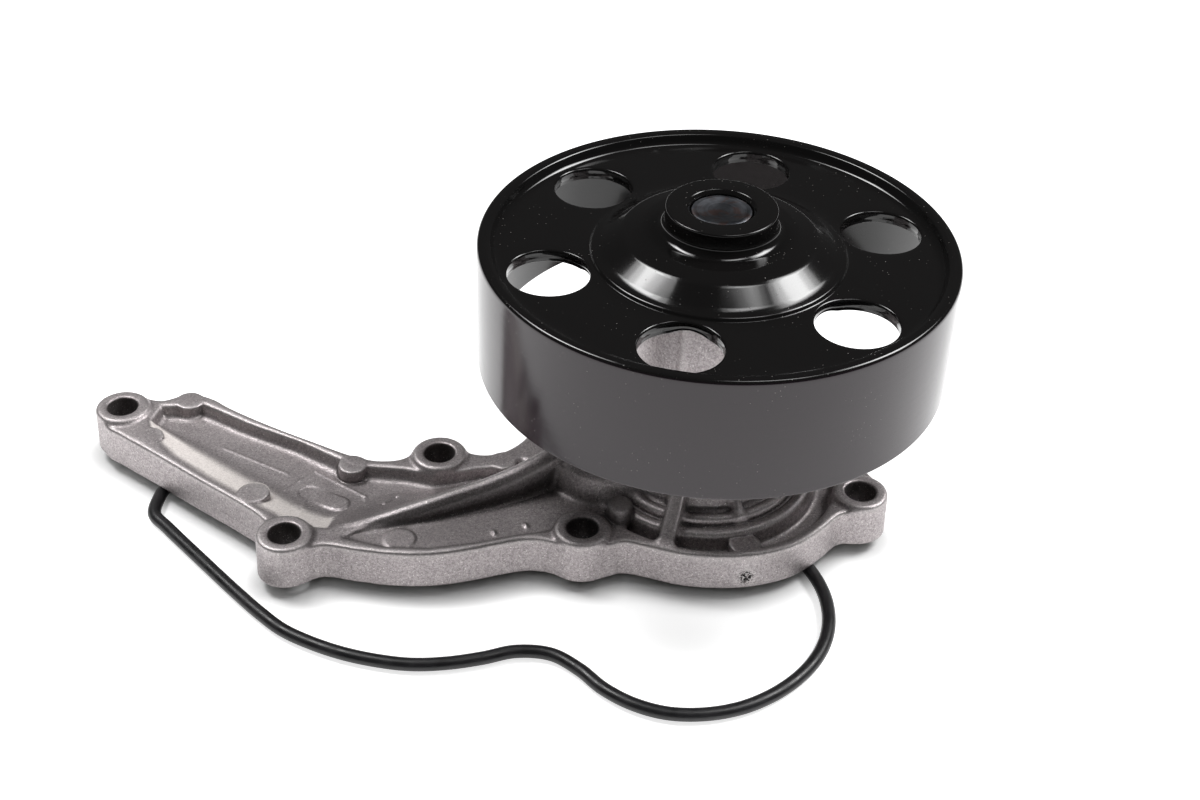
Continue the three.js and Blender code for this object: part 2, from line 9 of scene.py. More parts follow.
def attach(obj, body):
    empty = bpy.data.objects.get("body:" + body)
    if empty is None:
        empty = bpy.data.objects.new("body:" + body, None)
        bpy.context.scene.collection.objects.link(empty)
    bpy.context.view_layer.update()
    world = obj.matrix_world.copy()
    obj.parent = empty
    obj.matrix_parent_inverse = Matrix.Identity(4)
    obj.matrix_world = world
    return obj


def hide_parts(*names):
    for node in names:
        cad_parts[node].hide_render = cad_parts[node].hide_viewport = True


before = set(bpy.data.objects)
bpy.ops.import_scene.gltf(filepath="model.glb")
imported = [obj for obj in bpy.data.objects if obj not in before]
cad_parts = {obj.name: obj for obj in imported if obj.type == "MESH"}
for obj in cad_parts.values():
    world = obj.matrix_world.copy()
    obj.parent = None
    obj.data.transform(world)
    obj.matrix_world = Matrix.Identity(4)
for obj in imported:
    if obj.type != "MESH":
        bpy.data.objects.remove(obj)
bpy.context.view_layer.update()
MM = 0.001
METRE = 1.0

# ---- dimensions shared with the CAD ----
SHAFT_R = 7.94
SHAFT_END_Z = 94.7
BALL_PITCH_R = 10.05
BALL_R = 2.6
RACE_R = 2.9
BALLS_PER_ROW = 8
ROW_Z = {"rear": 41, "front": 62}
RING_R = 15
RING_Z0 = 32
RING_Z1 = 71
RING_BORE_R = 12.4
BORE = SHAFT_R + 0.3

PULLEY_R = 62.5
PULLEY_TOP_Z = 85.3
PULLEY_BOTTOM_Z = 50.3
PULLEY_WALL = 3
WEB_TOP_Z = 82.2
WEB_THICK = 3.4
HUB_R = 14.5
HUB_TOP_Z = 95.65
HUB_BOTTOM_Z = 75
WINDOW_R = 10.6
WINDOW_PITCH_R = 45.4
WINDOW_FIRST_DEG = 21

FLANGE_TOP = 11.5
BOSS_TOP = 12.8
BOLT_R = 4.25
BOLTS = [(-167.6, 4.1), (-73.6, -5.1), (-108.5, -44.9), (-30.3, -32.2), (44.5, -6.6), (-15.4, 42.3)]
ARM_FLOOR_Z = 7.8
FRONT_FLOOR_Z = 10.4
MOAT_FLOOR_Z = 8
TOWER_TOP_Z = 72
CHAMBER_R = 26.3
CHAMBER_ROOF_Z = 11
CHANNEL_ROOF_Z = 4.2
CUP_BORE_R = 15.2
DRAIN_R = 12.5
WEEP_R = 2.5
WEEP_DEG = 302
WEEP_Z = 28.4
GROOVE_W = 3.8
GROOVE_DEPTH = 2.5
GASKET_R = 1.66
GASKET_WIDE = 1.12
TABLE_Z = -3.5
IMPELLER_R = 24.3
VANES = 7

GROOVE = [
    (-154.8, 0.5), (-151.5, -6.5), (-143, -12.2), (-124.6, -22.5), (-105.9, -32.6), (-96.1, -36.5),
    (-85.7, -38.4), (-75.1, -38.7), (-64.6, -37.2), (-54.6, -33.7), (-45.5, -28.3), (-37, -22),
    (-31.5, -20.2), (-25.5, -20.4), (-17.2, -24.7), (-7.6, -29.2), (2.9, -30.5), (13, -27.7),
    (21.9, -22.1), (28.8, -14), (33.7, -4.7), (36.4, 5.6), (35.9, 16.1), (32.6, 26.2),
    (26.7, 34.9), (18, 40.2), (8.5, 40.6), (0.5, 36.5), (-6, 32.4), (-13, 30.6),
    (-20, 31.6), (-28, 31.3), (-35.5, 25.8), (-41, 17), (-44.3, 6.5), (-48, -3),
    (-55.5, -10.5), (-65, -14.9), (-76, -16.6), (-88, -17.3), (-97.5, -15.2), (-109, -9.8),
    (-127, -1.2), (-141, 5), (-149, 7), (-153.6, 5),
]
GASKET = [
    (-151.9, -19), (-151, -25.2), (-146, -30.2), (-132.6, -42.6), (-119.1, -54.9), (-112.1, -60.9),
    (-104.8, -66.3), (-96.5, -70.1), (-87.8, -72.8), (-78.8, -74.3), (-69.6, -74.6), (-60.6, -73),
    (-52, -70.1), (-43.6, -66.5), (-34.6, -66.4), (-26.8, -70.9), (-20.1, -76.9), (-12.3, -81.3),
    (-3.5, -83.45), (5.6, -82.7), (14.2, -79.7), (21.6, -74.8), (28, -68.3), (33, -60.6),
    (36.1, -52.1), (37, -43), (35.7, -33.9), (32.3, -25.5), (26, -16.6), (17, -9.3),
    (5.5, -5), (-6.5, -6.5), (-15, -14), (-22, -21.5), (-31, -24.5), (-41, -26.5),
    (-50, -30.5), (-59, -34.5), (-69, -37.6), (-80, -38.8), (-91, -38.2), (-101, -36.8),
    (-111, -33), (-122, -25.2), (-134, -17.2), (-143, -11.6), (-148.3, -11.2), (-151.2, -13.6),
]
OUTLINE = [
    (-171, -3.2), (-164.5, -7.8), (-152, -15.4), (-138, -24.2), (-124.5, -32.4), (-117, -37.8),
    (-110, -47), (-103.5, -49.6), (-98, -47), (-89, -47.6), (-81.4, -48), (-73, -47.5),
    (-65.4, -45.8), (-57.5, -42.8), (-50.2, -39.5), (-44.5, -37.5), (-39.5, -37.4), (-31, -39.5),
    (-23, -37), (-19, -35.2), (-12, -36.1), (-4, -37.8), (4, -38), (12, -37),
    (19, -34.8), (26, -31), (31, -26.4), (35, -21.4), (39.5, -15.6), (46, -13.5),
    (51, -6), (49, 1), (44.4, 8), (42.6, 17), (38.5, 28), (31.5, 38),
    (22, 45.8), (10.5, 49), (1, 48), (-6, 46.5), (-16, 49), (-25, 46),
    (-31, 41.5), (-40, 33), (-47, 21), (-50, 9), (-53, 3.2), (-57, -0.8),
    (-62, -2.4), (-67, -1.4), (-73, 1.6), (-80, -2.6), (-84, -7.2), (-90, -8.9),
    (-97, -7.9), (-110, -2.9), (-124, 3), (-137.7, 9.8), (-143, 13.1), (-148, 14.6),
    (-153, 13.6), (-158, 10.6), (-163, 11), (-170, 11),
]
ARM_MOUTH = [
    (-155.5, -5.2), (-152.2, -9.4), (-148, -13.8), (-137.5, -21.2), (-126, -28.4), (-118.5, -33), (-112, -36.4),
    (-104.5, -39.3), (-98.5, -39.6), (-93, -37), (-86, -34.6), (-78, -31.8), (-70, -27.8), (-61, -22),
    (-53, -15.5), (-47.5, -10), (-46.5, -4.5), (-50.5, -3), (-55.5, -7.6), (-62, -9),
    (-67, -11.2), (-74, -13.4), (-82, -12.0), (-91.5, -12.2), (-97.1, -12.6), (-101, -9.8),
    (-113.8, -3.6), (-129.8, 2.6), (-141.7, 8.4), (-145.9, 10.3), (-149, 7.6), (-153, 8.2),
    (-157.5, 7.4), (-158.5, 0.5),
]
ARM_FLOOR = [
    (-152, -1.8), (-146, -5.4), (-136.5, -11), (-124.5, -18.2), (-116.5, -23.2), (-106.5, -29.2),
    (-99, -33), (-93, -27.6), (-85.5, -21.9), (-78, -18.6), (-70.5, -15.8), (-63.5, -13.4),
    (-57, -10.6), (-52, -8), (-50, -5.6), (-52.5, -4.9), (-57, -8.6), (-63, -10),
    (-67.5, -12.2), (-74, -14.6), (-82, -13.3), (-91.5, -13.4), (-97.5, -14.6), (-102, -11.6),
    (-114.2, -4.8), (-130.2, 1.4), (-142, 7.1), (-146, 8.9), (-149, 6.6), (-152.5, 7.1),
    (-156.2, 6.2), (-156.8, 1.5),
]
FRONT_POCKET = [
    (-93, -43), (-82, -45.2), (-70, -44.3), (-58, -40.4), (-48, -36), (-39, -33), (-30, -25),
    (-24, -15), (-34, -6), (-46, -13), (-59, -21), (-72, -28.5), (-84, -34.5),
]
RIDGE = [
    (-107, -40.5, 7.6), (-98, -40, 10.2), (-90, -38.2, 12), (-80, -34, 14), (-72, -30.6, 15.6),
    (-64.5, -26.6, 16.6), (-57, -22.6, 17.6), (-49.5, -18, 19), (-43, -13, 20.4), (-36, -7, 21.6),
    (-25.5, 3.5, 23),
]
SHOULDER = [
    (6, [(-46, -8), (-36, -19), (-25, -21), (-14, -19), (-8, -6), (-12, 14), (-24, 24), (-36, 20), (-45, 8)]),
    (17, [(-42, -8), (-34, -15), (-25, -18), (-16, -17), (-9, -6), (-12, 13), (-23, 20), (-33, 16), (-41, 6)]),
    (25, [(-31, -6), (-27, -11), (-22, -14), (-14, -15), (-8, -6), (-10, 12), (-18, 15), (-25, 11), (-30, 4)]),
    (34, [(-21, -4), (-20, -7), (-17, -10), (-12, -12), (-8, -6), (-9, 10), (-14, 11), (-18, 8), (-21, 3)]),
]
PADS = [
    (-150.0, 11.2, 4.2), (-97.0, -12.0, 4.2), (-55.6, -4.6, 4), (-156.4, -6.5, 4), (-121.2, -27.6, 4.5),
    (13.3, -31.4, 4.4),
]

# ribs round the tower: angle, thickness, and the top's slope from (radius, z) to (radius, z)
RIBS = [
    (257, 4.2, 18, 30, 35.5, 11.8), (296, 2.6, 18, 22, 27.4, 15.0), (20, 4.2, 18, 30, 40, 11.5),
    (75, 4.2, 18, 30, 42, 11.5), (130, 4.2, 18, 30, 40, 11.5),
]
SEAM_DEG = 250.6
PIN = (-21, -24.6)
RAISED_DISC = (-78.3, -41)
# recess round the tower: centre and radius of its round parts
MOAT_R = 34.6
MOAT_RIGHT = (3.0, -0.8)
MOAT_BACK = (-3.5, 9, 39.2)
MOAT_DRAFT = 0.06
RIDGE_SIDE_Z = 7.2
DUCT_WALL = 3.0

# ---- marks on the casting ----
PARTING_Z = 4.4
PARTING_FLASH = 0.11
FLOOR_LINES = [
    [(-136, -5.1), (-115, -14.3)], [(-107.6, -12.2), (-91.8, -21.2), (-91.4, -22.8)],
    [(-107.6, -12.2), (-111, -17), (-114.2, -21.6)],
]
TAB = ((-107.4, -21.6), (-98.2, -25.4), 2.9)
NICKS = [(-53.8, -35.0, 11), (-45.7, -30.9, 11)]
DENTS = [((-84.9, -23.8, 10.2), (-83.1, -21.0, 9.6), 0.42), ((-86.3, -24.9, 10.2), (-85.5, -24.7, 10.2), 0.4)]
WALL_PITS = [(13.2, -36.8, 4.4), (14.3, -36.5, 3.1), (15.3, -36.2, 4.0), (14.4, -36.5, 5.2), (14.0, -36.6, 2.4)]
SCAR = (14.2, -36.5, 3.8)


# ---- curves and distance fields ----
def closed_curve(points, per=8):
    """A closed centripetal Catmull-Rom curve through the points, per steps between neighbours."""
    p = np.array(points, float)
    n = len(p)
    out = []
    for i in range(n):
        p0, p1, p2, p3 = p[i - 1], p[i], p[(i + 1) % n], p[(i + 2) % n]
        d0, d1, d2 = (max(np.linalg.norm(b - a), 1e-6) ** 0.5 for a, b in ((p0, p1), (p1, p2), (p2, p3)))
        t1 = ((p1 - p0) / d0 - (p2 - p0) / (d0 + d1) + (p2 - p1) / d1) * d1
        t2 = ((p2 - p1) / d1 - (p3 - p1) / (d1 + d2) + (p3 - p2) / d2) * d1
        for k in range(per):
            t = k / per
            out.append(
                (2 * t**3 - 3 * t**2 + 1) * p1 + (t**3 - 2 * t**2 + t) * t1
                + (3 * t**2 - 2 * t**3) * p2 + (t**3 - t**2) * t2
            )
    return np.array(out)


def polygon_field(loop, xx, yy):
    """Signed distance from every grid point to a closed loop, negative inside."""
    loop = np.array(loop, np.float32)
    best = np.full(xx.shape, 1e9, np.float32)
    inside = np.zeros(xx.shape, bool)
    for a, b in zip(loop, np.roll(loop, -1, axis=0)):
        ex, ey = b - a
        px, py = xx - a[0], yy - a[1]
        t = np.clip((px * ex + py * ey) / max(ex * ex + ey * ey, 1e-12), 0, 1)
        dx, dy = px - t * ex, py - t * ey
        np.minimum(best, dx * dx + dy * dy, out=best)
        if a[1] != b[1]:
            cross = (a[1] > yy) != (b[1] > yy)
            inside ^= cross & (xx < a[0] + (yy - a[1]) * (ex / ey))
    d = np.sqrt(best)
    return np.where(inside, -d, d)


def to_segment(x, y, a, b):
    """How far along a segment the points lie, 0 to 1 between its ends, and their distance from it."""
    ex, ey = b[0] - a[0], b[1] - a[1]
    t = ((x - a[0]) * ex + (y - a[1]) * ey) / (ex * ex + ey * ey)
    c = np.clip(t, 0, 1)
    return t, np.hypot(x - a[0] - c * ex, y - a[1] - c * ey)


def along_ray(x, y, deg):
    """Coordinates along and across a ray from the shaft."""
    a = math.radians(deg)
    return x * math.cos(a) + y * math.sin(a), y * math.cos(a) - x * math.sin(a)


def smooth_min(a, b, k):
    h = np.maximum(k - np.abs(a - b), 0)
    return np.minimum(a, b) - h * h / (4 * k)


def smooth_max(a, b, k):
    h = np.maximum(k - np.abs(a - b), 0)
    return np.maximum(a, b) + h * h / (4 * k)


def soften(field, times):
    """Rounds a field's edges: one pass of [1 2 1] / 4 along each axis, a few times over."""
    for _ in range(times):
        for axis in range(3):
            f = np.moveaxis(field, axis, 0)
            f[1:-1] = f[1:-1] * 0.5 + (f[:-2] + f[2:]) * 0.25
    return field


def surface_net(field, origin, step):
    """Vertices and quads of the zero surface of a sampled field that is negative inside."""
    neg = field < 0
    corners = list(np.ndindex(2, 2, 2))
    inside = np.zeros([n - 1 for n in field.shape], np.int8)
    for o in corners:
        inside += neg[tuple(slice(i, n - 1 + i) for i, n in zip(o, field.shape))]
    cells = np.argwhere((inside > 0) & (inside < 8)).astype(np.int32)
    index = np.full(inside.shape, -1, np.int32)
    index[tuple(cells.T)] = np.arange(len(cells), dtype=np.int32)
    value = {o: field[tuple((cells + np.array(o)).T)] for o in corners}
    total = np.zeros((len(cells), 3))
    count = np.zeros(len(cells))
    for a in corners:
        for axis in range(3):
            if a[axis]:
                continue
            va, vb = value[a], value[a[:axis] + (1,) + a[axis + 1:]]
            cut = (va < 0) != (vb < 0)
            spot = np.tile(np.array(a, float), (len(cells), 1))
            spot[:, axis] = np.where(cut, va / np.where(cut, va - vb, 1), 0)
            total[cut] += spot[cut]
            count += cut
    verts = (cells + total / count[:, None]) * step + np.array(origin)
    quads = []
    for axis in range(3):
        lo = [slice(1, -1)] * 3
        lo[axis] = slice(0, -1)
        hi = list(lo)
        hi[axis] = slice(1, None)
        a, b = neg[tuple(lo)], neg[tuple(hi)]
        at = np.argwhere(a != b).astype(np.int32)
        flip = ~a[tuple(at.T)]
        at += 1
        at[:, axis] -= 1
        around = []
        for du, dv in ((-1, -1), (0, -1), (0, 0), (-1, 0)):
            q = at.copy()
            q[:, (axis + 1) % 3] += du
            q[:, (axis + 2) % 3] += dv
            around.append(index[tuple(q.T)])
        face = np.stack(around, axis=1)
        face[flip] = face[flip][:, ::-1]
        quads.append(face)
    return verts, np.concatenate(quads)


def add_object(name, data):
    obj = bpy.data.objects.new(name, data)
    bpy.context.scene.collection.objects.link(obj)
    return obj


def make_mesh(name, verts, faces, unit=MM):
    """A smooth-shaded object from vertices in the given unit."""
    mesh = bpy.data.meshes.new(name)
    v = np.asarray(verts, np.float32) * unit
    if isinstance(faces, np.ndarray):
        n, k = faces.shape
        mesh.vertices.add(len(v))
        mesh.vertices.foreach_set("co", v.ravel())
        mesh.loops.add(n * k)
        mesh.loops.foreach_set("vertex_index", faces.astype(np.int32).ravel())
        mesh.polygons.add(n)
        mesh.polygons.foreach_set("loop_start", np.arange(0, n * k, k, dtype=np.int32))
        mesh.update(calc_edges=True)
        mesh.validate()
    else:
        mesh.from_pydata(v.tolist(), [], faces)
    mesh.polygons.foreach_set("use_smooth", [True] * len(mesh.polygons))
    mesh.update()
    return add_object(name, mesh)


# ---- housing ----
HOUSING_STEP = 0.4
HOUSING_LOW = (-177.6, -54.8, -1.2)
HOUSING_HIGH = (54.6, 52.4, 73.6)
FULL_WIDTH_Z = 27.6
TOWER_REACH = 30
DOME_STEP = 0.1
EDGE_PASSES = 14
THIN_RATIO = 0.42
EVERYWHERE = 200


def look_up(table, radius):
    """The columns, one for each height, of a table over the radius."""
    at = np.clip(radius / DOME_STEP, 0, len(table) - 1.001)
    i = at.astype(np.int32)
    t = (at - i).astype(np.float32)[..., None]
    return table[i] * (1 - t) + table[i + 1] * t


def ridge_height(xx, yy):
    """The ridge's height at every grid point, and how many times longer a height over it is than a distance."""
    path = np.array(RIDGE, np.float32)
    best = np.full(xx.shape, 1e9, np.float32)
    side, crest, order, over = np.zeros((4, *xx.shape), np.float32)
    last = len(path) - 2
    for i in range(last + 1):
        a, b = path[i], path[i + 1]
        ex, ey = b[0] - a[0], b[1] - a[1]
        length = math.hypot(ex, ey)
        px, py = xx - a[0], yy - a[1]
        raw = (px * ex + py * ey) / length**2
        t = np.clip(raw, 0, 1)
        dist = np.hypot(px - t * ex, py - t * ey)
        near = dist < best
        best = np.where(near, dist, best)
        side = np.where(near, np.where(ex * py - ey * px > 0, dist, -dist), side)
        crest = np.where(near, a[2] + (b[2] - a[2]) * t, crest)
        order = np.where(near, i + t, order)
        end = (raw < 0) if i == 0 else ((raw > 1) if i == last else np.zeros(xx.shape, bool))
        over = np.where(near, np.where(end, dist, 0), over)
    rear = 9.6 + 0.35 * order
    section = [
        (-9.0, -14), (-2.6, 5), (-1.3, crest - 2.0), (0.2, crest - 0.5), (1.5, crest - 0.15), (3.0, crest - 0.7),
        (0.55 * rear, (crest + RIDGE_SIDE_Z) / 2), (rear, RIDGE_SIDE_Z), (rear + 4, 5), (rear + 14, -6),
    ]
    section = [[np.asarray(v, np.float32) for v in knot] for knot in section]
    height = np.full(xx.shape, -14, np.float32)
    for (s0, h0), (s1, h1) in zip(section, section[1:]):
        t = (side - s0) / (s1 - s0)
        height = np.where((t >= 0) & (t < 1), h0 + (h1 - h0) * t, height)
    height = height - 1.6 * over
    gx, gy = np.gradient(height, HOUSING_STEP)
    return height.astype(np.float32), np.sqrt(1 + np.minimum(gx * gx + gy * gy, 60)).astype(np.float32)


class Grid:
    """The housing's sampled distance field, with local edits."""

    def __init__(self):
        self.axes = [
            np.arange(lo, hi, HOUSING_STEP, dtype=np.float32) for lo, hi in zip(HOUSING_LOW, HOUSING_HIGH)
        ]
        self.field = np.full([len(a) for a in self.axes], 6, np.float32)

    def window(self, lo, hi):
        return tuple(slice(*(int(i) for i in np.searchsorted(a, (p, q)))) for a, p, q in zip(self.axes, lo, hi))

    def edit(self, lo, hi, change):
        """Replaces the field inside a box by change(field, x, y, z)."""
        s = self.window(lo, hi)
        self.field[s] = change(self.field[s], *np.ix_(*(a[i] for a, i in zip(self.axes, s))))

    def sample(self, field, points):
        """A field's values at points, straight between the grid's."""
        p = (points - np.array([a[0] for a in self.axes])) / HOUSING_STEP
        p = np.clip(p, 0, np.array(field.shape) - 1.001)
        i = p.astype(int)
        t = p - i
        out = 0
        for o in np.ndindex(2, 2, 2):
            w = np.prod(np.where(np.array(o) == 1, t, 1 - t), axis=1)
            out = out + w * field[i[:, 0] + o[0], i[:, 1] + o[1], i[:, 2] + o[2]]
        return out


DOME_PROFILE = [
    (0, 6), (32.6, 6), (32.0, 9.5), (31.2, 12.6), (30.4, 13.1), (28.6, 13.1), (27.9, 12.2), (27.3, 12.4),
    (27.0, 14.4), (26.2, 14.9), (24.9, 14.9), (24.3, 14.1), (22.5, 15.4), (20.9, 40), (20.3, 71.2),
    (19.5, 72), (0, 72),
]


def rib_field(x, y, z, deg, thick, r0, z0, r1, z1):
    """A rib of the RIBS table: draughted sides under a sloping top."""
    u, v = along_ray(x, y, deg)
    slope = (z1 - z0) / (r1 - r0)
    top = (z - z0 - slope * (u - r0)) / math.hypot(1, slope)
    sides = np.abs(v) - thick / 2 + 0.03 * (z - 16)
    return np.maximum(np.maximum(smooth_max(sides, top, 1.2), u - r1), r0 - 6 - u)


def build_housing():
    """The housing's field on its grid, and a copy of the casting before anything was cut into it."""
    grid = Grid()
    x, y, z = grid.axes
    xx, yy = np.meshgrid(x, y, indexing="ij")
    loops = (closed_curve(OUTLINE), ARM_MOUTH, ARM_FLOOR, FRONT_POCKET, closed_curve(GROOVE))
    edge, mouth, floor, front, groove = (polygon_field(loop, xx, yy) for loop in loops)
    ridge, steep = ridge_height(xx, yy)
    shoulder = [(h, polygon_field(closed_curve(loop, 6), xx, yy)) for h, loop in SHOULDER]
    radius = np.hypot(xx, yy)

    def body(s, z):
        """The as-cast solid over a window of the plan."""
        up = z[None, None, :]
        wide = lambda f: f[s][..., None]
        px, py = wide(xx), wide(yy)
        flash = PARTING_FLASH * np.exp(-((up - PARTING_Z) / 0.45) ** 2)
        f = smooth_max(wide(edge) + 0.022 * (up - 6) - flash, up - FLANGE_TOP, 1.1)
        # rear pocket of the arm: its walls lean from the floor's outline to the mouth's
        depth = FLANGE_TOP - ARM_FLOOR_Z
        lean = wide(mouth - floor)
        wall = wide(floor) + lean * np.clip((up - ARM_FLOOR_Z) / depth, 0, 1.6)
        pocket = smooth_max(wall / np.sqrt(1 + (lean / depth) ** 2), ARM_FLOOR_Z - up, 1.8)
        f = smooth_max(f, -pocket, 0.9)
        under = FRONT_FLOOR_Z - up
        f = smooth_max(f, -smooth_max(wide(front) + 0.2 * under, under, 1.0), 0.7)
        # recess round the bearing tower
        draft = MOAT_DRAFT * (up - MOAT_FLOOR_Z)
        right_r = np.hypot(px - MOAT_RIGHT[0], py - MOAT_RIGHT[1])
        moat = np.maximum(np.minimum(wide(radius), right_r) - MOAT_R - draft, -18.6 - px)
        back = np.hypot(px - MOAT_BACK[0], py - MOAT_BACK[1]) - MOAT_BACK[2] - draft
        back = np.maximum(np.maximum(back, -24 - px), -4 - py)
        back = np.maximum(back, 12.4 - np.hypot(px - BOLTS[5][0], py - BOLTS[5][1]))
        moat = smooth_max(np.minimum(moat, back), MOAT_FLOOR_Z - up, 1.6)
        f = smooth_max(f, -moat, 0.9)
        # ridge, shoulder and tower
        f = smooth_min(f, (up - wide(ridge)) / wide(steep), 1.6)
        neck = np.full(f.shape, 9, np.float32)
        for (h0, a), (h1, b) in zip(shoulder, shoulder[1:]):
            t = np.clip((z - h0) / (h1 - h0), 0, 1)[None, None, :]
            part = wide(a) * (1 - t) + wide(b) * t
            band = ((z >= h0) & (z <= h1))[None, None, :]
            neck = np.where(band, part * 0.85, neck)
        neck = np.where(up < SHOULDER[0][0], wide(shoulder[0][1]), neck)
        tip = up - SHOULDER[-1][0]
        neck = np.where(tip > 0, np.maximum(wide(shoulder[-1][1]), tip), neck)
        rr, zz = np.meshgrid(np.arange(0, 60, DOME_STEP, dtype=np.float32), z, indexing="ij")
        dome = look_up(polygon_field(DOME_PROFILE, rr, zz), radius[s])
        f = smooth_min(f, smooth_min(dome, neck, 4.0), 1.5)
        for rib in RIBS:
            f = smooth_min(f, rib_field(px, py, up, *rib), 1.6)
        along, across = along_ray(px, py, SEAM_DEG)
        seam = np.maximum(np.abs(across) - 0.9, along - (23.2 - 0.044 * (up - 16)))
        seam = np.maximum(np.maximum(seam, up - TOWER_TOP_Z + 1), 15 - along)
        return smooth_min(f, np.maximum(seam, 12 - up), 1.0)

    low = slice(0, int(np.searchsorted(z, FULL_WIDTH_Z)))
    grid.field[:, :, low] = body((slice(None), slice(None)), z[low])
    high = slice(low.stop, None)
    wx, wy, _ = grid.window((-TOWER_REACH, -TOWER_REACH, 0), (TOWER_REACH, TOWER_REACH, 1))
    grid.field[wx, wy, high] = body((wx, wy), z[high])
    soften(grid.field, 1)

    def add_post(px, py, low_r, high_r, base, top, k_top, k_join):
        """A round post, joined to the casting with a fillet."""
        def change(f, x, y, z):
            d = np.hypot(x - px, y - py) - (low_r + (high_r - low_r) * (z - base) / (top - base))
            post = np.maximum(smooth_max(d, z - top, k_top), base - z)
            return smooth_min(f, post, k_join)
        reach = low_r + 4
        grid.edit((px - reach, py - reach, base - 2), (px + reach, py + reach, top + 3), change)

    def mark(a, b, band, height, width):
        """A raised (negative height) or sunk line on the casting's skin."""
        def change(f, x, y, z):
            return f + height * np.exp(-((to_segment(x, y, a, b)[1] / width) ** 2))
        low = (min(a[0], b[0]) - 2, min(a[1], b[1]) - 2, band[0])
        grid.edit(low, (max(a[0], b[0]) + 2, max(a[1], b[1]) + 2, band[1]), change)

    for px, py in BOLTS:
        add_post(px, py, 8.0, 7.55, -2, BOSS_TOP, 1.1, 1.4)
    for px, py, r in PADS:
        add_post(px, py, r + 0.1, r - 0.1, 5, FLANGE_TOP, 0.3, 0.3)
    add_post(*RAISED_DISC, 4.5, 4.2, 5, FRONT_FLOOR_Z + 0.45, 0.35, 0.5)
    add_post(*PIN, 3.7, 3.4, 6, 16, 0.4, 0.7)
    for line in FLOOR_LINES:
        for a, b in zip(line, line[1:]):
            mark(a, b, (ARM_FLOOR_Z - 1, ARM_FLOOR_Z + 2), -0.19, 0.3)
    (ax, ay), (bx, by), tab_r = TAB

    def tab(f, x, y, z):
        t, d = to_segment(x, y, (ax, ay), (bx, by))
        return f - np.clip(0.5 - (d - tab_r) / 0.35, 0, 1) * (-0.14 + 0.5 * np.clip(t, -0.3, 1.3))
    grid.edit((ax - 5, by - 5, ARM_FLOOR_Z - 1), (bx + 5, ay + 5, ARM_FLOOR_Z + 2.4), tab)
    for px, py, pz in NICKS:
        mark((px - 0.3, py + 0.6), (px + 0.3, py - 0.6), (pz - 2, pz + 2), -0.5, 0.45)
    for (px, py, pz), (qx, qy, qz), width in DENTS:
        mark((px, py), (qx, qy), (min(pz, qz) - 3, max(pz, qz) + 3), 0.5, width)
    for px, py, pz in WALL_PITS:
        grid.edit((px - 2, py - 3, pz - 2), (px + 2, py + 3, pz + 2),
                  lambda f, x, y, z: f + 0.6 * np.exp(-((x - px) ** 2 + (z - pz) ** 2) / 0.3))
    cast = grid.field.copy()

    def cut(lo, hi, tool, k=0.35):
        grid.edit(lo, hi, lambda f, x, y, z: smooth_max(f, -tool(x, y, z), k))

    def bore(r, z0, z1, px=0.0, py=0.0, k=0.35):
        def tool(x, y, z):
            return np.maximum(np.maximum(np.hypot(x - px, y - py) - r, z - z1), z0 - z)
        reach = r + 3
        cut((px - reach, py - reach, z0 - 2), (px + reach, py + reach, z1 + 2), tool, k)

    for px, py in BOLTS:
        bore(BOLT_R, -3, BOSS_TOP + 2, px, py, 0.7)
    bore(RING_R + 0.3, RING_Z0 - 0.3, TOWER_TOP_Z + 3, k=0.8)
    bore(DRAIN_R, 20, 40)
    bore(CUP_BORE_R, 5, 25.2)
    bore(17.6, 5, 15.7)
    bore(CHAMBER_R, -3, CHAMBER_ROOF_Z, k=0.6)

    def weep(x, y, z):
        u, v = along_ray(x, y, WEEP_DEG)
        return np.maximum(np.maximum(np.hypot(v, z - WEEP_Z) - WEEP_R, 10 - u), u - 30)
    cut((0, -32, 22), (20, -6, 34), weep, 0.6)

    def under(f, x, y, z):
        """Coolant passage, its duct under the ridge and the gasket's groove; the machined mounting face is cut after
        it.
        """
        g = groove[..., None]
        passage = smooth_max(g + 4.6, z - CHANNEL_ROOF_Z, 1.6)
        roof = (z - ridge[..., None]) / steep[..., None] + DUCT_WALL
        duct = smooth_max(roof, g + 5.0, 1.2)
        f = smooth_max(f, -np.minimum(passage, duct), 0.5)
        slot = smooth_max(np.abs(g) - GROOVE_W / 2, z - GROOVE_DEPTH, 0.5)
        return smooth_max(f, -slot, 0.3)
    grid.edit((-EVERYWHERE, -EVERYWHERE, -2), (EVERYWHERE, EVERYWHERE, 24), under)
    grid.edit((-EVERYWHERE, -EVERYWHERE, -2), (EVERYWHERE, EVERYWHERE, 4),
              lambda f, x, y, z: smooth_max(f, -z, 0.35))
    return grid, cast


# ---- turned and swept pieces ----
TURNED_SIDES = 96


def rounded(corners, steps=5):
    """A profile of (radius, z) or (radius, z, fillet) corners, with each fillet as an arc."""
    pts = [np.array(c[:2], float) for c in corners]
    out = []
    for i, c in enumerate(corners):
        p, a, b = pts[i], pts[i - 1], pts[(i + 1) % len(pts)]
        if len(c) < 3 or i in (0, len(corners) - 1):
            out.append(p)
            continue
        u, v = a - p, b - p
        lu, lv = np.linalg.norm(u), np.linalg.norm(v)
        u, v = u / lu, v / lv
        half = math.acos(max(-1, min(1, float(u @ v)))) / 2
        reach = min(c[2] / math.tan(half), lu * 0.49, lv * 0.49)
        r = reach * math.tan(half)
        centre = p + (u + v) / np.linalg.norm(u + v) * (r / math.sin(half))
        s, e = p + u * reach, p + v * reach
        for k in range(steps + 1):
            t = k / steps
            q = s * (1 - t) ** 2 + p * 2 * t * (1 - t) + e * t**2
            d = q - centre
            out.append(centre + d / np.linalg.norm(d) * r)
    return np.array(out)


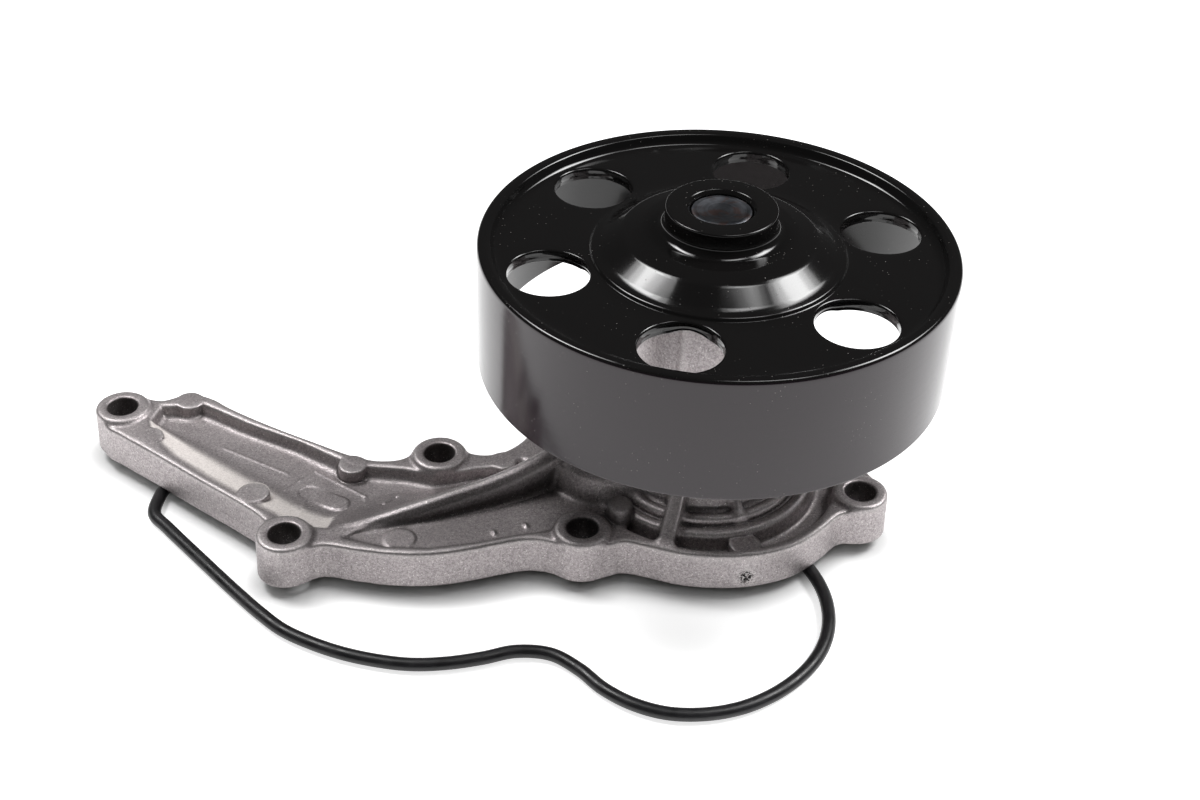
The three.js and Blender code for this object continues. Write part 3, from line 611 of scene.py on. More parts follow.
def lathe(profile, segments, start=0.0, closed=False):
    """Turns a profile about the shaft axis. A radius of 0 becomes a pole."""
    profile = np.asarray(profile, float)
    angle = start + np.arange(segments) * 2 * math.pi / segments
    verts, rings, faces = [], [], []
    for r, z in profile:
        if r < 1e-6:
            rings.append([len(verts)] * segments)
            verts.append((0, 0, z))
        else:
            rings.append(list(range(len(verts), len(verts) + segments)))
            verts.extend((*at_angle(r, a), z) for a in angle)
    for a, b in zip(rings, rings[1:] + rings[:closed]):
        for i in range(segments):
            j = (i + 1) % segments
            face = list(dict.fromkeys((a[i], a[j], b[j], b[i])))
            if len(face) > 2:
                faces.append(face)
    return verts, faces


def tidy(obj, sharp_deg=None, weld=2e-6):
    """Welds doubles and turns every face outwards."""
    bm = bmesh.new()
    bm.from_mesh(obj.data)
    bmesh.ops.remove_doubles(bm, verts=bm.verts, dist=weld)
    bmesh.ops.recalc_face_normals(bm, faces=bm.faces)
    if bm.calc_volume(signed=True) < 0:
        bmesh.ops.reverse_faces(bm, faces=bm.faces)
    bm.to_mesh(obj.data)
    bm.free()
    if sharp_deg is not None:
        obj.data.set_sharp_from_angle(angle=math.radians(sharp_deg))
    return obj


def turned_piece(name, corners):
    verts, faces = lathe(rounded(corners + corners[:1])[:-1], TURNED_SIDES, closed=True)
    return tidy(make_mesh(name, verts, faces), 40)


def tube(points, radius, sides=20, closed=True, wide=1.0):
    """Verts and faces of a round tube along a path, its section carried without twist."""
    p = np.asarray(points, float)
    n = len(p)
    tangent = np.roll(p, -1, 0) - np.roll(p, 1, 0) if closed else np.gradient(p, axis=0)
    tangent /= np.linalg.norm(tangent, axis=1)[:, None]
    up = np.array([0, 0, 1.0])
    verts = []
    for q, t in zip(p, tangent):
        side = np.cross(t, up)
        side /= np.linalg.norm(side)
        lift = np.cross(side, t)
        for k in range(sides):
            a = 2 * math.pi * k / sides
            verts.append(q + radius * (wide * math.cos(a) * side + math.sin(a) * lift))
    faces = []
    for i in range(n if closed else n - 1):
        for k in range(sides):
            a, b = i * sides + k, i * sides + (k + 1) % sides
            c, d = ((i + 1) % n) * sides + (k + 1) % sides, ((i + 1) % n) * sides + k
            faces.append((a, b, c, d))
    if not closed:
        faces.append(tuple(range(sides))[::-1])
        faces.append(tuple(range((n - 1) * sides, n * sides)))
    return verts, faces


def at_angle(r, a):
    return r * math.cos(a), r * math.sin(a)


def polar(r, deg, z=0.0):
    return *at_angle(r, math.radians(deg)), z


# ---- pulley ----
SECTOR = 40
SIDE = 14
WEB_IN = 33.6
WEB_OUT = 57.6
WINDOW_ROUND = 0.7
WINDOW_ROUND_LOW = 0.3
WINDOW_TAPER = 0.14
WELD = 2e-5
DOME_TOP = rounded([
    (HUB_R, HUB_TOP_Z - 1), (HUB_R, 89.2, 3.4), (20.4, 88.9, 6), (25.0, 87.8, 5), (30.9, 83.95, 8),
    (33.0, 83.3, 0.9), (33.5, 82.45, 0.8), (36.5, WEB_TOP_Z, 1.5), (42, WEB_TOP_Z),
], 10)
RIM = rounded([
    (50, WEB_TOP_Z), (57.9, WEB_TOP_Z, 2.2), (59.0, 84.9, 0.8), (60.1, 85.3, 0.8), (PULLEY_R, PULLEY_TOP_Z, 1.2),
    (PULLEY_R, PULLEY_BOTTOM_Z, 0.5), (PULLEY_R - PULLEY_WALL, PULLEY_BOTTOM_Z, 0.6),
    (PULLEY_R - PULLEY_WALL, WEB_TOP_Z - WEB_THICK, 2.2), (50, WEB_TOP_Z - WEB_THICK),
], 8)
UNDER_DOME = rounded([
    (42, WEB_TOP_Z - WEB_THICK), (36, WEB_TOP_Z - WEB_THICK, 1.5), (32.6, 81.0, 2), (26.6, 83.6, 7), (19, 84.9, 4),
    (13.6, 84.9, 1.5), (13.6, HUB_BOTTOM_Z, 0.5), (BORE, HUB_BOTTOM_Z, 0.4), (BORE, 94.7, 0.3),
    (9.0, HUB_TOP_Z, 0.5), (HUB_R, HUB_TOP_Z, 0.8), (HUB_R, HUB_TOP_Z - 1),
], 6)


def build_pulley():
    """Rings turned inside and outside the windows, and a sheet with one window for each sixth between them."""
    segments = 6 * SECTOR
    start = math.radians(WINDOW_FIRST_DEG - 30)
    upper = np.concatenate([DOME_TOP, RIM[RIM[:, 1] > WEB_TOP_Z - 0.01][:20]])
    low = RIM[(RIM[:, 1] < WEB_TOP_Z - 0.01) & (RIM[:, 1] > 76)][::-1]
    lower = np.concatenate([UNDER_DOME[:12][::-1], low[low[:, 0] < PULLEY_R - PULLEY_WALL + 0.01]])
    top_z = lambda r: np.interp(r, upper[:, 0], upper[:, 1])
    low_z = lambda r: np.interp(r, lower[:, 0], lower[:, 1])
    inner = DOME_TOP[DOME_TOP[:, 0] < WEB_IN]
    under = UNDER_DOME[UNDER_DOME[:, 0] < WEB_IN]
    outer = [tuple(p) for p in RIM if p[0] > WEB_OUT + 0.05]
    wall = [(WEB_OUT, top_z(WEB_OUT))]
    for a, b in zip(outer, outer[1:]):
        wall.append(a)
        if abs(a[1] - b[1]) > 10:
            wall.extend(tuple(np.array(a) + (np.array(b) - np.array(a)) * t) for t in (0.02, 0.1, 0.5, 0.9, 0.98))
    wall += [outer[-1], (WEB_OUT, low_z(WEB_OUT))]
    hub = np.concatenate([[(WEB_IN, low_z(WEB_IN))], under, inner[1:], [(WEB_IN, top_z(WEB_IN))]])
    parts = [lathe(profile, segments, start) for profile in (hub, wall)]

    for w in range(6):
        centre = math.radians(WINDOW_FIRST_DEG + 60 * w)
        c = np.array(at_angle(WINDOW_PITCH_R, centre))
        arc = [centre + math.radians(-30 + 60 * i / SECTOR) for i in range(SECTOR + 1)]
        rim = [at_angle(WEB_OUT, a) for a in arc]
        rim += [at_angle(WEB_OUT + (WEB_IN - WEB_OUT) * i / SIDE, arc[-1]) for i in range(1, SIDE)]
        rim += [at_angle(WEB_IN, a) for a in arc[::-1]]
        rim += [at_angle(WEB_IN + (WEB_OUT - WEB_IN) * i / SIDE, arc[0]) for i in range(1, SIDE)]
        rim = np.array(rim)
        n = len(rim)
        ray = rim - c
        ray /= np.linalg.norm(ray, axis=1)[:, None]
        rings = []

        def ring(xy, z):
            rings.append(np.column_stack([xy, np.broadcast_to(z, n)]))

        def sheet(height, sign, rho, radius, order):
            """Rings of the web's face between a window and its sector's border."""
            local = []
            near = c + ray * (radius + rho * 1.3)
            for t in (1, 0.8, 0.6, 0.4, 0.2, 0):
                xy = near + (rim - near) * t
                local.append((xy, height(np.linalg.norm(xy, axis=1))))
            for q in (0.22, 0.42, 0.62, 0.8, 0.93, 1.0):
                a = q * math.pi / 2
                xy = c + ray * (radius + rho * (1 - math.sin(a)))
                local.append((xy, height(np.linalg.norm(xy, axis=1)) - sign * (rho * (1 - math.cos(a)))))
            for xy, z in local[::order]:
                ring(xy, z)

        sheet(top_z, 1, WINDOW_ROUND, WINDOW_R, 1)
        edge_top = rings[-1][:, 2].copy()
        low_r = WINDOW_R + WINDOW_TAPER
        edge_low = low_z(np.linalg.norm(c + ray * low_r, axis=1)) + WINDOW_ROUND_LOW
        for t, grow in ((0.2, 0), (0.52, 0), (0.6, 0.1), (0.75, 0.12)):
            ring(c + ray * (WINDOW_R + grow), edge_top + (edge_low - edge_top) * t)
        sheet(low_z, -1, WINDOW_ROUND_LOW, low_r, -1)
        faces = [
            (k * n + i, k * n + (i + 1) % n, (k + 1) * n + (i + 1) % n, (k + 1) * n + i)
            for k in range(len(rings) - 1) for i in range(n)
        ]
        parts.append((np.concatenate(rings), faces))
    verts, faces = [], []
    for v, f in parts:
        base = len(verts)
        verts.extend([tuple(p) for p in v])
        faces.extend([tuple(i + base for i in face) for face in f])
    return tidy(make_mesh("pulley_shell", verts, faces), weld=WELD)


# ---- materials ----
class Shader:
    """A material with one Principled surface, and short ways to make its nodes."""

    def __init__(self, name):
        self.material = bpy.data.materials.new(name)
        self.material.use_nodes = True
        self.tree = self.material.node_tree
        self.tree.nodes.clear()
        out = self.tree.nodes.new("ShaderNodeOutputMaterial")
        self.surface = self.tree.nodes.new("ShaderNodeBsdfPrincipled")
        self.tree.links.new(self.surface.outputs["BSDF"], out.inputs["Surface"])
        self.coord = self.node("TexCoord")["Object"]

    def link(self, value, socket):
        if isinstance(value, bpy.types.NodeSocket):
            self.tree.links.new(value, socket)
        elif value is not None:
            socket.default_value = value

    def set(self, **values):
        """Sets or links the surface's own sockets, their names written with _ for a space."""
        for name, value in values.items():
            self.link(value, self.surface.inputs[name.replace("_", " ")])

    def node(self, kind, inputs=(), **settings):
        """Adds a node, with its inputs by name or number, and gives its outputs."""
        n = self.tree.nodes.new("ShaderNode" + kind)
        for name, value in settings.items():
            setattr(n, name, value)
        for key, value in dict(inputs).items():
            self.link(value, n.inputs[key])
        return n.outputs

    def noise(self, scale, detail=3, rough=0.55, distort=0.0, at=None):
        return self.node("TexNoise", {
            "Scale": scale, "Detail": detail, "Roughness": rough, "Distortion": distort, "Vector": at or self.coord,
        })["Fac"]

    def cells(self, scale, output="Distance"):
        return self.node("TexVoronoi", {"Scale": scale, "Vector": self.coord})[output]

    def math(self, op, *values):
        return self.node("Math", enumerate(values), operation=op)[0]

    def times(self, a, b):
        return self.math("MULTIPLY", a, b)

    def plus(self, a, b):
        return self.math("ADD", a, b)

    def radius(self, x, y):
        return self.math("SQRT", self.plus(self.times(x, x), self.times(y, y)))

    def ramp(self, *values):
        """Eases a value from one range to another: value, low, high and, if not 0 to 1, to_low and to_high."""
        return self.node("MapRange", enumerate(values), interpolation_type="SMOOTHSTEP")[0]

    def mix(self, t, a, b):
        a, b = (v if isinstance(v, bpy.types.NodeSocket) else (*v, 1) for v in (a, b))
        return self.node("Mix", {0: t, 6: a, 7: b}, data_type="RGBA")[2]

    def attribute(self, name):
        return self.node("Attribute", attribute_name=name)["Fac"]

    def split(self, vector=None):
        return self.node("SeparateXYZ", {0: vector or self.coord})

    def combine(self, *xyz):
        return self.node("CombineXYZ", enumerate(xyz))[0]

    def bump(self, height, strength, distance, normal=None):
        return self.node("Bump", {"Strength": strength, "Distance": distance, "Height": height, "Normal": normal})[0]


def cast_aluminium():
    """Shot-blasted die casting: fine sparkling grain, paler edges that are worn and partly a painted highlight,
    painted shade in hollows, on the ridge's front wall and on the pin, a painted highlight on the arm pocket's slope,
    a milled joint face.
    """
    n = Shader("cast_aluminium_blasted")
    x, y, z = n.split()
    grain = n.noise(4200, 2, 0.7)
    coarse = n.noise(1500, 3, 0.65)
    cloud = n.noise(55, 4, 0.6)
    flake = n.split(n.cells(4200, "Color"))[0]
    tone = n.plus(n.times(grain, 0.5), n.times(coarse, 0.5))
    dark = n.mix(n.ramp(cloud, 0.3, 0.7), (0.235, 0.213, 0.216), (0.275, 0.250, 0.254))
    light = n.mix(n.ramp(cloud, 0.3, 0.7), (0.510, 0.463, 0.468), (0.575, 0.527, 0.532))
    colour = n.mix(n.ramp(tone, 0.34, 0.66), dark, light)
    edge = n.attribute("edge")
    # edges paler: wear, and partly a painted highlight
    colour = n.mix(n.ramp(edge, 0.05, 0.32, 0, 0.22), colour, (0.74, 0.71, 0.70))
    # painted shade: hollows darkened
    colour = n.mix(n.ramp(edge, -0.06, -0.4, 0, 0.62), colour, (0.10, 0.09, 0.088))
    colour = n.mix(n.times(n.ramp(flake, 0.955, 1.0), 0.6), colour, (0.95, 0.93, 0.91))
    # painted highlight on the arm pocket's slope: pale colour, and less metallic below
    painted_slope_highlight = n.attribute("painted_slope_highlight")
    pale = n.mix(n.ramp(tone, 0.34, 0.62), (0.72, 0.66, 0.63), (1.0, 0.94, 0.90))
    colour = n.mix(n.times(painted_slope_highlight, 0.9), colour, pale)
    # painted shade: the ridge's front wall and the pin darkened nearly to black
    colour = n.mix(n.times(n.attribute("painted_shade_ridge_and_pin"), 0.62), colour, (0.045, 0.040, 0.038))
    scar = n.attribute("scar")
    frost = n.ramp(n.noise(2600, 2, 0.6), 0.45, 0.6)
    colour = n.mix(n.times(scar, n.times(frost, 0.8)), colour, (0.80, 0.78, 0.77))
    pits = n.times(n.ramp(scar, 0.45, 0.8), n.ramp(n.noise(1300, 2, 0.6), 0.52, 0.44))
    colour = n.mix(pits, colour, (0.04, 0.036, 0.036))
    milled = n.attribute("milled")
    ringed = n.noise(380, 2, 0.5, at=n.combine(n.times(x, 0.05), y, z))
    colour = n.mix(milled, colour, n.mix(n.ramp(ringed, 0.3, 0.7), (0.60, 0.59, 0.58), (0.74, 0.73, 0.72)))
    rough = n.plus(n.ramp(tone, 0.3, 0.7, 0.56, 0.42), n.times(milled, -0.16))
    height = n.plus(n.times(grain, 0.6), n.times(coarse, 0.8))
    fade = n.math("SUBTRACT", 1.0, n.times(milled, 0.85))
    b = n.bump(n.times(height, fade), 0.5, 0.00010)
    b = n.bump(n.noise(160, 3, 0.5), 0.2, 0.0004, b)
    n.set(Base_Color=colour, Metallic=n.math("MULTIPLY_ADD", painted_slope_highlight, -0.8, 0.85), Roughness=rough, Normal=b)
    return n.material


def black_coat():
    """Glossy black electro-coat: faint flow, dust, hairline rub marks, a duller belt track round the outside."""
    n = Shader("black_electrocoat")
    x, y, z = n.split()
    track = n.times(n.ramp(n.radius(x, y), 0.0618, 0.0624), n.ramp(z, 0.0850, 0.0842))
    dust = n.times(n.ramp(n.cells(620), 0.10, 0.05), n.ramp(n.noise(60, 3, 0.6), 0.44, 0.62))
    colour = n.mix(track, (0.0062, 0.0058, 0.0058), (0.0135, 0.0058, 0.0102))
    colour = n.mix(n.times(dust, 0.5), colour, (0.42, 0.40, 0.37))
    rough = n.ramp(n.noise(30, 4, 0.6), 0.3, 0.75, 0.09, 0.14)
    rough = n.plus(n.plus(rough, n.times(track, 0.05)), n.times(dust, 0.4))
    b = n.bump(n.noise(420, 2, 0.5), 0.02, 0.00012)
    lines = n.noise(700, 2, 0.5, at=n.combine(n.times(x, 0.06), n.times(y, 0.06), z))
    b = n.bump(n.times(lines, track), 0.10, 0.00012, b)
    b = n.bump(dust, 0.3, 0.0001, b)
    n.set(Base_Color=colour, Roughness=rough, IOR=1.52, Normal=b)
    return n.material


def moulded(name, base, pale, rough_low, rough_high):
    """Moulded rubber or nylon: a faint cloud of tone over a fine dull skin."""
    n = Shader(name)
    colour = n.mix(n.ramp(n.noise(90, 4, 0.6), 0.35, 0.7), base, pale)
    rough = n.ramp(n.noise(260, 3, 0.6), 0.3, 0.7, rough_low, rough_high)
    b = n.bump(n.noise(1800, 2, 0.5), 0.12, 0.00006)
    b = n.bump(n.noise(300, 3, 0.5), 0.2, 0.00012, b)
    n.set(Base_Color=colour, Roughness=rough, Normal=b)
    return n.material


def turned_metal(name, base, pale, rough, metallic=1.0, tint=None):
    """Ground or turned metal: fine rings about the shaft axis, a little mottling."""
    n = Shader(name)
    x, y, z = n.split()
    rings = n.noise(2200, 2, 0.6, at=n.combine(n.radius(x, y), z, 0.0))
    cloud = n.noise(120, 4, 0.6)
    colour = n.mix(n.ramp(n.plus(n.times(rings, 0.5), n.times(cloud, 0.5)), 0.3, 0.7), base, pale)
    if tint:
        colour = n.mix(n.ramp(n.noise(190, 3, 0.6, 0.6), 0.5, 0.66, 0, 0.75), colour, tint)
    n.set(Base_Color=colour, Metallic=metallic, Roughness=n.ramp(cloud, 0.3, 0.7, rough - 0.05, rough + 0.09),
          Normal=n.bump(rings, 0.25, 0.00004))
    return n.material


MATERIALS = {
    "cast_aluminium": cast_aluminium(),
    "black_coat": black_coat(),
    "shaft_steel": turned_metal(
        "shaft_steel_oxide", (0.10, 0.105, 0.118), (0.22, 0.228, 0.25), 0.34, 1.0, (0.17, 0.10, 0.085)),
    "bearing_steel": turned_metal("bearing_steel_ground", (0.50, 0.51, 0.53), (0.66, 0.67, 0.69), 0.2),
    "stainless": turned_metal("stainless_pressed", (0.52, 0.52, 0.53), (0.68, 0.68, 0.69), 0.3),
    "seat_ceramic": turned_metal("seat_ceramic_lapped", (0.055, 0.06, 0.068), (0.09, 0.096, 0.105), 0.22, 0.0),
    "carbon": turned_metal("carbon_lapped", (0.02, 0.02, 0.022), (0.045, 0.045, 0.05), 0.42, 0.0),
    "black_rubber": moulded("black_rubber_moulded", (0.012, 0.012, 0.013), (0.024, 0.024, 0.026), 0.5, 0.66),
    "gasket_rubber": moulded("gasket_rubber_satin", (0.009, 0.009, 0.010), (0.019, 0.018, 0.020), 0.30, 0.46),
    "cage_nylon": moulded("cage_nylon", (0.52, 0.44, 0.30), (0.60, 0.52, 0.37), 0.4, 0.55),
}


def dress(obj, body, slot, node):
    """Gives a piece its material, the CAD body it moves with and the CAD node it stands for."""
    obj.data.materials.clear()
    obj.data.materials.append(MATERIALS[slot])
    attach(obj, body)
    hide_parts(node)


# ---- pieces ----
def float_attribute(obj, name, values):
    a = obj.data.attributes.new(name, "FLOAT", "POINT")
    a.data.foreach_set("value", np.asarray(values, np.float32))


def vertex_vectors(mesh, what):
    values = np.zeros(len(mesh.vertices) * 3)
    mesh.vertices.foreach_get(what, values)
    return values.reshape(-1, 3)


def make_housing():
    grid, cast = build_housing()
    verts, quads = surface_net(grid.field, [a[0] for a in grid.axes], HOUSING_STEP)
    obj = make_mesh("housing_casting", verts, quads)
    thin = obj.modifiers.new("thin", "DECIMATE")
    thin.ratio = THIN_RATIO
    evaluated = obj.evaluated_get(bpy.context.evaluated_depsgraph_get())
    mesh = bpy.data.meshes.new_from_object(evaluated)
    obj.modifiers.clear()
    obj.data = mesh
    mesh = obj.data
    mesh.polygons.foreach_set("use_smooth", [True] * len(mesh.polygons))
    co = vertex_vectors(mesh, "co") / MM
    normal = vertex_vectors(mesh, "normal")
    x, y, z = co.T
    # a softened field is above zero at edges and below it in hollows: the material pales the edges, worn and partly a
    # painted highlight, and darkens the hollows as painted shade
    float_attribute(obj, "edge", grid.sample(soften(cast, EDGE_PASSES), co))
    float_attribute(obj, "scar", np.exp(-((co - np.array(SCAR)) ** 2).sum(1) / 9.0))
    # painted highlight: the arm pocket's slope that faces away from the camera, painted pale and made less metallic
    # for the light it catches
    painted_slope_highlight = np.clip(normal[:, 1] * 6 - 0.6, 0, 1) * np.clip((z - 8.0) / 0.6, 0, 1)
    painted_slope_highlight *= (polygon_field(ARM_MOUTH, x, y) < 0.6) & (x < -98) & (z < FLANGE_TOP)
    float_attribute(obj, "painted_slope_highlight", painted_slope_highlight)
    # painted shade on the ridge's side towards the camera, down to the front pocket, and painted shadow on the pin
    # under the pulley
    painted_shade_ridge_and_pin = np.clip((-0.4 - normal[:, 1]) * 4, 0, 1) * np.clip((z - FRONT_FLOOR_Z - 0.2) / 1.2, 0, 1)
    painted_shade_ridge_and_pin *= np.clip((7 - polygon_field(FRONT_POCKET, x, y)) / 5, 0, 1)
    for (px, py), keep in ((BOLTS[2], 9), (BOLTS[3], 8)):
        painted_shade_ridge_and_pin *= np.clip((np.hypot(x - px, y - py) - keep) / 3, 0, 1)
    painted_shade_ridge_and_pin *= np.clip((-40 - x) / 16, 0, 1) * np.clip((30 - z) / 6, 0, 1)
    pin_painted_shadow = (np.hypot(x - PIN[0], y - PIN[1]) < 4.4) & (z > 9)
    float_attribute(obj, "painted_shade_ridge_and_pin", np.maximum(painted_shade_ridge_and_pin, 0.8 * pin_painted_shadow))
    float_attribute(obj, "milled", ((z < 0.2) & (normal[:, 2] < -0.8)).astype(float))
    return obj


def make_gasket():
    path = closed_curve(GASKET, 14)
    points = np.column_stack([path, np.full(len(path), TABLE_Z + GASKET_R)])
    verts, faces = tube(points, GASKET_R, 24, wide=GASKET_WIDE)
    return tidy(make_mesh("gasket_ring", verts, faces))


def make_shaft():
    """The bearing's shaft, with the balls' races turned into it."""
    dip = math.degrees(math.asin((BALL_PITCH_R - SHAFT_R) / RACE_R))
    profile = [(0, 0.2), (5.5, 0.2), (6.6, 0), (SHAFT_R - 0.5, 0), (SHAFT_R, 0.5), (SHAFT_R, 20)]
    for z in ROW_Z.values():
        for k in range(9):
            a = math.radians(270 - dip + (2 * dip - 180) * k / 8)
            profile.append((BALL_PITCH_R + RACE_R * math.cos(a), z + RACE_R * math.sin(a)))
    end = SHAFT_END_Z
    profile += [(SHAFT_R, 80), (SHAFT_R, end - 0.75), (SHAFT_R - 0.22, end - 0.25), (SHAFT_R - 0.75, end),
                (6.4, end), (6.1, end - 0.12), (0, end - 0.12)]
    verts, faces = lathe(profile, TURNED_SIDES)
    return tidy(make_mesh("shaft", verts, faces), 35)


def make_ball(name, centre):
    bm = bmesh.new()
    bmesh.ops.create_cube(bm, size=2)
    bmesh.ops.subdivide_edges(bm, edges=bm.edges, cuts=9, use_grid_fill=True)
    bm.verts.index_update()
    verts = [v.co.normalized() * BALL_R * MM + Vector(centre) * MM for v in bm.verts]
    obj = make_mesh(name, verts, [[v.index for v in f.verts] for f in bm.faces], METRE)
    bm.free()
    return obj


def field_piece(name, low, high, step, distance):
    """A small piece from its distance function."""
    axes = [np.arange(a - 2 * step, b + 3 * step, step, dtype=np.float32) for a, b in zip(low, high)]
    x, y, z = np.meshgrid(*axes, indexing="ij")
    verts, quads = surface_net(soften(distance(x, y, z), 1), [a[0] for a in axes], step)
    return make_mesh(name, verts, quads)


def make_cage(name, z0):
    """A band with a round pocket for each ball."""
    pitch = 2 * math.pi / BALLS_PER_ROW

    def distance(x, y, z):
        r = np.hypot(x, y)
        d = np.maximum(np.abs(r - 10.1) - 1.2, np.abs(z - z0) - 4)
        turn = np.arctan2(y, x)
        nearest = np.round(turn / pitch) * pitch
        across = r * np.sin(turn - nearest)
        return smooth_max(d, 2.95 - np.hypot(across, z - z0), 0.25)
    return field_piece(name, (-11.4, -11.4, z0 - 4), (11.4, 11.4, z0 + 4), 0.2, distance)


def make_impeller():
    """Pressed disc on a hub, with seven swept vanes folded down towards the mounting face."""
    def distance(x, y, z):
        r = np.hypot(x, y)
        disc = np.maximum(np.abs(z - 8.8) - 0.8, r - IMPELLER_R)
        hub = np.maximum(np.abs(z - 5.6) - 4.35, r - 12.0 + 0.05 * (8 - z))
        d = smooth_min(disc, hub, 2.2)
        for k in range(VANES):
            turn = 360 * k / VANES
            line = [polar(11.2 + 3.1 * i, turn - 11 * i) for i in range(5)]
            best = np.full(x.shape, 1e3, np.float32)
            for a, b in zip(line, line[1:]):
                best = np.minimum(best, to_segment(x, y, a, b)[1])
            vane = smooth_max(best - 0.8, np.maximum(1.4 - z, z - 8.6), 0.5)
            d = smooth_min(d, np.maximum(vane, r - IMPELLER_R + 0.1), 0.8)
        return smooth_max(smooth_max(d, BORE - r, 0.3), np.maximum(1.25 - z, z - 9.95), 0.3)
    return field_piece("impeller_wheel", (-24.6, -24.6, 1), (24.6, 24.6, 10.2), 0.28, distance)


def make_spring():
    turns, steps = 3, 40
    path = [polar(12.2, 360 * i / steps, 19.75 + 3.15 * i / (turns * steps)) for i in range(turns * steps + 1)]
    verts, faces = tube(path, 0.5, 12, closed=False)
    return tidy(make_mesh("seal_spring_coil", verts, faces), 50)


HOUSING = "housing_body"
ROTOR = "rotor"
dress(make_housing(), HOUSING, "cast_aluminium", "housing")
dress(build_pulley(), ROTOR, "black_coat", "pulley")
dress(make_shaft(), ROTOR, "shaft_steel", "bearing_shaft")
dress(make_gasket(), "gasket_body", "gasket_rubber", "gasket")
dress(make_impeller(), ROTOR, "stainless", "impeller")

RING_DIP = math.degrees(math.asin((RING_BORE_R - BALL_PITCH_R) / RACE_R))
ring_profile = [(RING_R, RING_Z0, 0.7), (RING_R, RING_Z1, 0.7), (RING_BORE_R, RING_Z1, 0.3)]
for z in sorted(ROW_Z.values(), reverse=True):
    for k in range(9):
        a = math.radians((90 - RING_DIP) * (1 - k / 4))
        ring_profile.append((BALL_PITCH_R + RACE_R * math.cos(a), z + RACE_R * math.sin(a)))
ring_profile.append((RING_BORE_R, RING_Z0, 0.3))
dress(turned_piece("bearing_ring", ring_profile), HOUSING, "bearing_steel", "bearing_outer_ring")

for side, z in ROW_Z.items():
    body = f"{side}_ball_set"
    dress(make_cage(f"cage_{side}_moulding", z), body, "cage_nylon", f"cage_{side}")
    for i in range(BALLS_PER_ROW):
        centre = polar(BALL_PITCH_R, 360 * i / BALLS_PER_ROW, z)
        dress(make_ball(f"bearing_ball_{side}_{i + 1}", centre), body, "bearing_steel", f"ball_{side}_{i + 1}")
for side, z in (("rear", 33), ("front", 68.6)):
    lip = [(BORE, z, 0.1), (12.05, z, 0.25), (12.05, z + 1.6, 0.3), (10, z + 1.6, 0.3), (9, z + 1, 0.3),
           (BORE, z + 0.8, 0.1)]
    dress(turned_piece(f"lip_seal_{side}", lip), HOUSING, "black_rubber", f"bearing_seal_{side}")
# node: body, material and turned profile
SMALL = {
    "slinger": (ROTOR, "shaft_steel", [
        (BORE, 27.2, 0.1), (11, 27.2, 0.3), (11, 28, 0.3), (BORE + 0.9, 28, 0.4), (BORE + 0.9, 29.6, 0.3),
        (BORE, 29.6, 0.1),
    ]),
    "seat_boot": (ROTOR, "black_rubber", [
        (BORE, 10.3, 0.2), (12.8, 10.3, 0.3), (12.8, 11.2, 0.3), (9.5, 11.2, 0.2), (9.5, 14.3, 0.3), (BORE, 14.3, 0.2),
    ]),
    "seat_ring": (ROTOR, "seat_ceramic", [(9.8, 11.5, 0.2), (12.8, 11.5, 0.2), (12.8, 14.5, 0.2), (9.8, 14.5, 0.2)]),
    "seal_face": ("seal_face_body", "carbon", [
        (9.6, 15.3, 0.1), (10.2, 14.8, 0.1), (12, 14.8, 0.1), (12.4, 15.8, 0.2), (12.9, 15.8, 0.2), (12.9, 17.6, 0.3),
        (9.6, 17.6, 0.2),
    ]),
    "seal_bellows": (HOUSING, "black_rubber", [
        (9.3, 19.2, 0.2), (10.9, 19.2, 0.2), (10.9, 19.8, 0.3), (10.1, 20.4, 0.5), (11, 21.2, 0.5), (10.1, 22.2, 0.5),
        (10.9, 22.9, 0.3), (10.9, 23.7, 0.2), (9.3, 23.7, 0.2),
    ]),
    "seal_cup": (HOUSING, "stainless", [
        (9.2, 24, 0.2), (14.3, 24, 0.7), (14.3, 14.6, 0.5), (17.3, 14.6, 0.2), (17.3, 15.3, 0.2), (14.9, 15.3, 0.5),
        (14.9, 24.8, 0.9), (9.2, 24.8, 0.2),
    ]),
}
for node, (body, slot, corners) in SMALL.items():
    dress(turned_piece(f"{node}_piece", corners), body, slot, node)
dress(make_spring(), HOUSING, "stainless", "seal_spring")


# ---- floor, lights, camera ----
# the floor's painted contact shadow: where its fade starts and how wide it is, in mm from the casting's outline
SHADE_FROM = -3
SHADE_WIDTH = 11
FLOOR_CELL = 0.003
FLOOR_GLOW = 0.74
FLOOR_DROP = 0.0001
WORLD_LEVEL = 0.05
# name, place, size in metres and radiance of each softbox, all aimed at AIM
SOFTBOXES = [
    ("left", (-0.62, 0.24, 1.06), (0.34, 0.44), 15), ("right", (0.71, 0.33, 0.97), (0.46, 0.44), 15),
    ("top", (0.30, 0.0, 1.2), (0.24, 0.36), 6),
]
AIM = (0, 0, 0.03)
# each softbox is three nested lights, brighter towards its middle: size and share of the radiance
NESTED = [(1.35, 0.3), (1.0, 0.4), (0.62, 0.5)]
NESTED_LIFT = 0.004


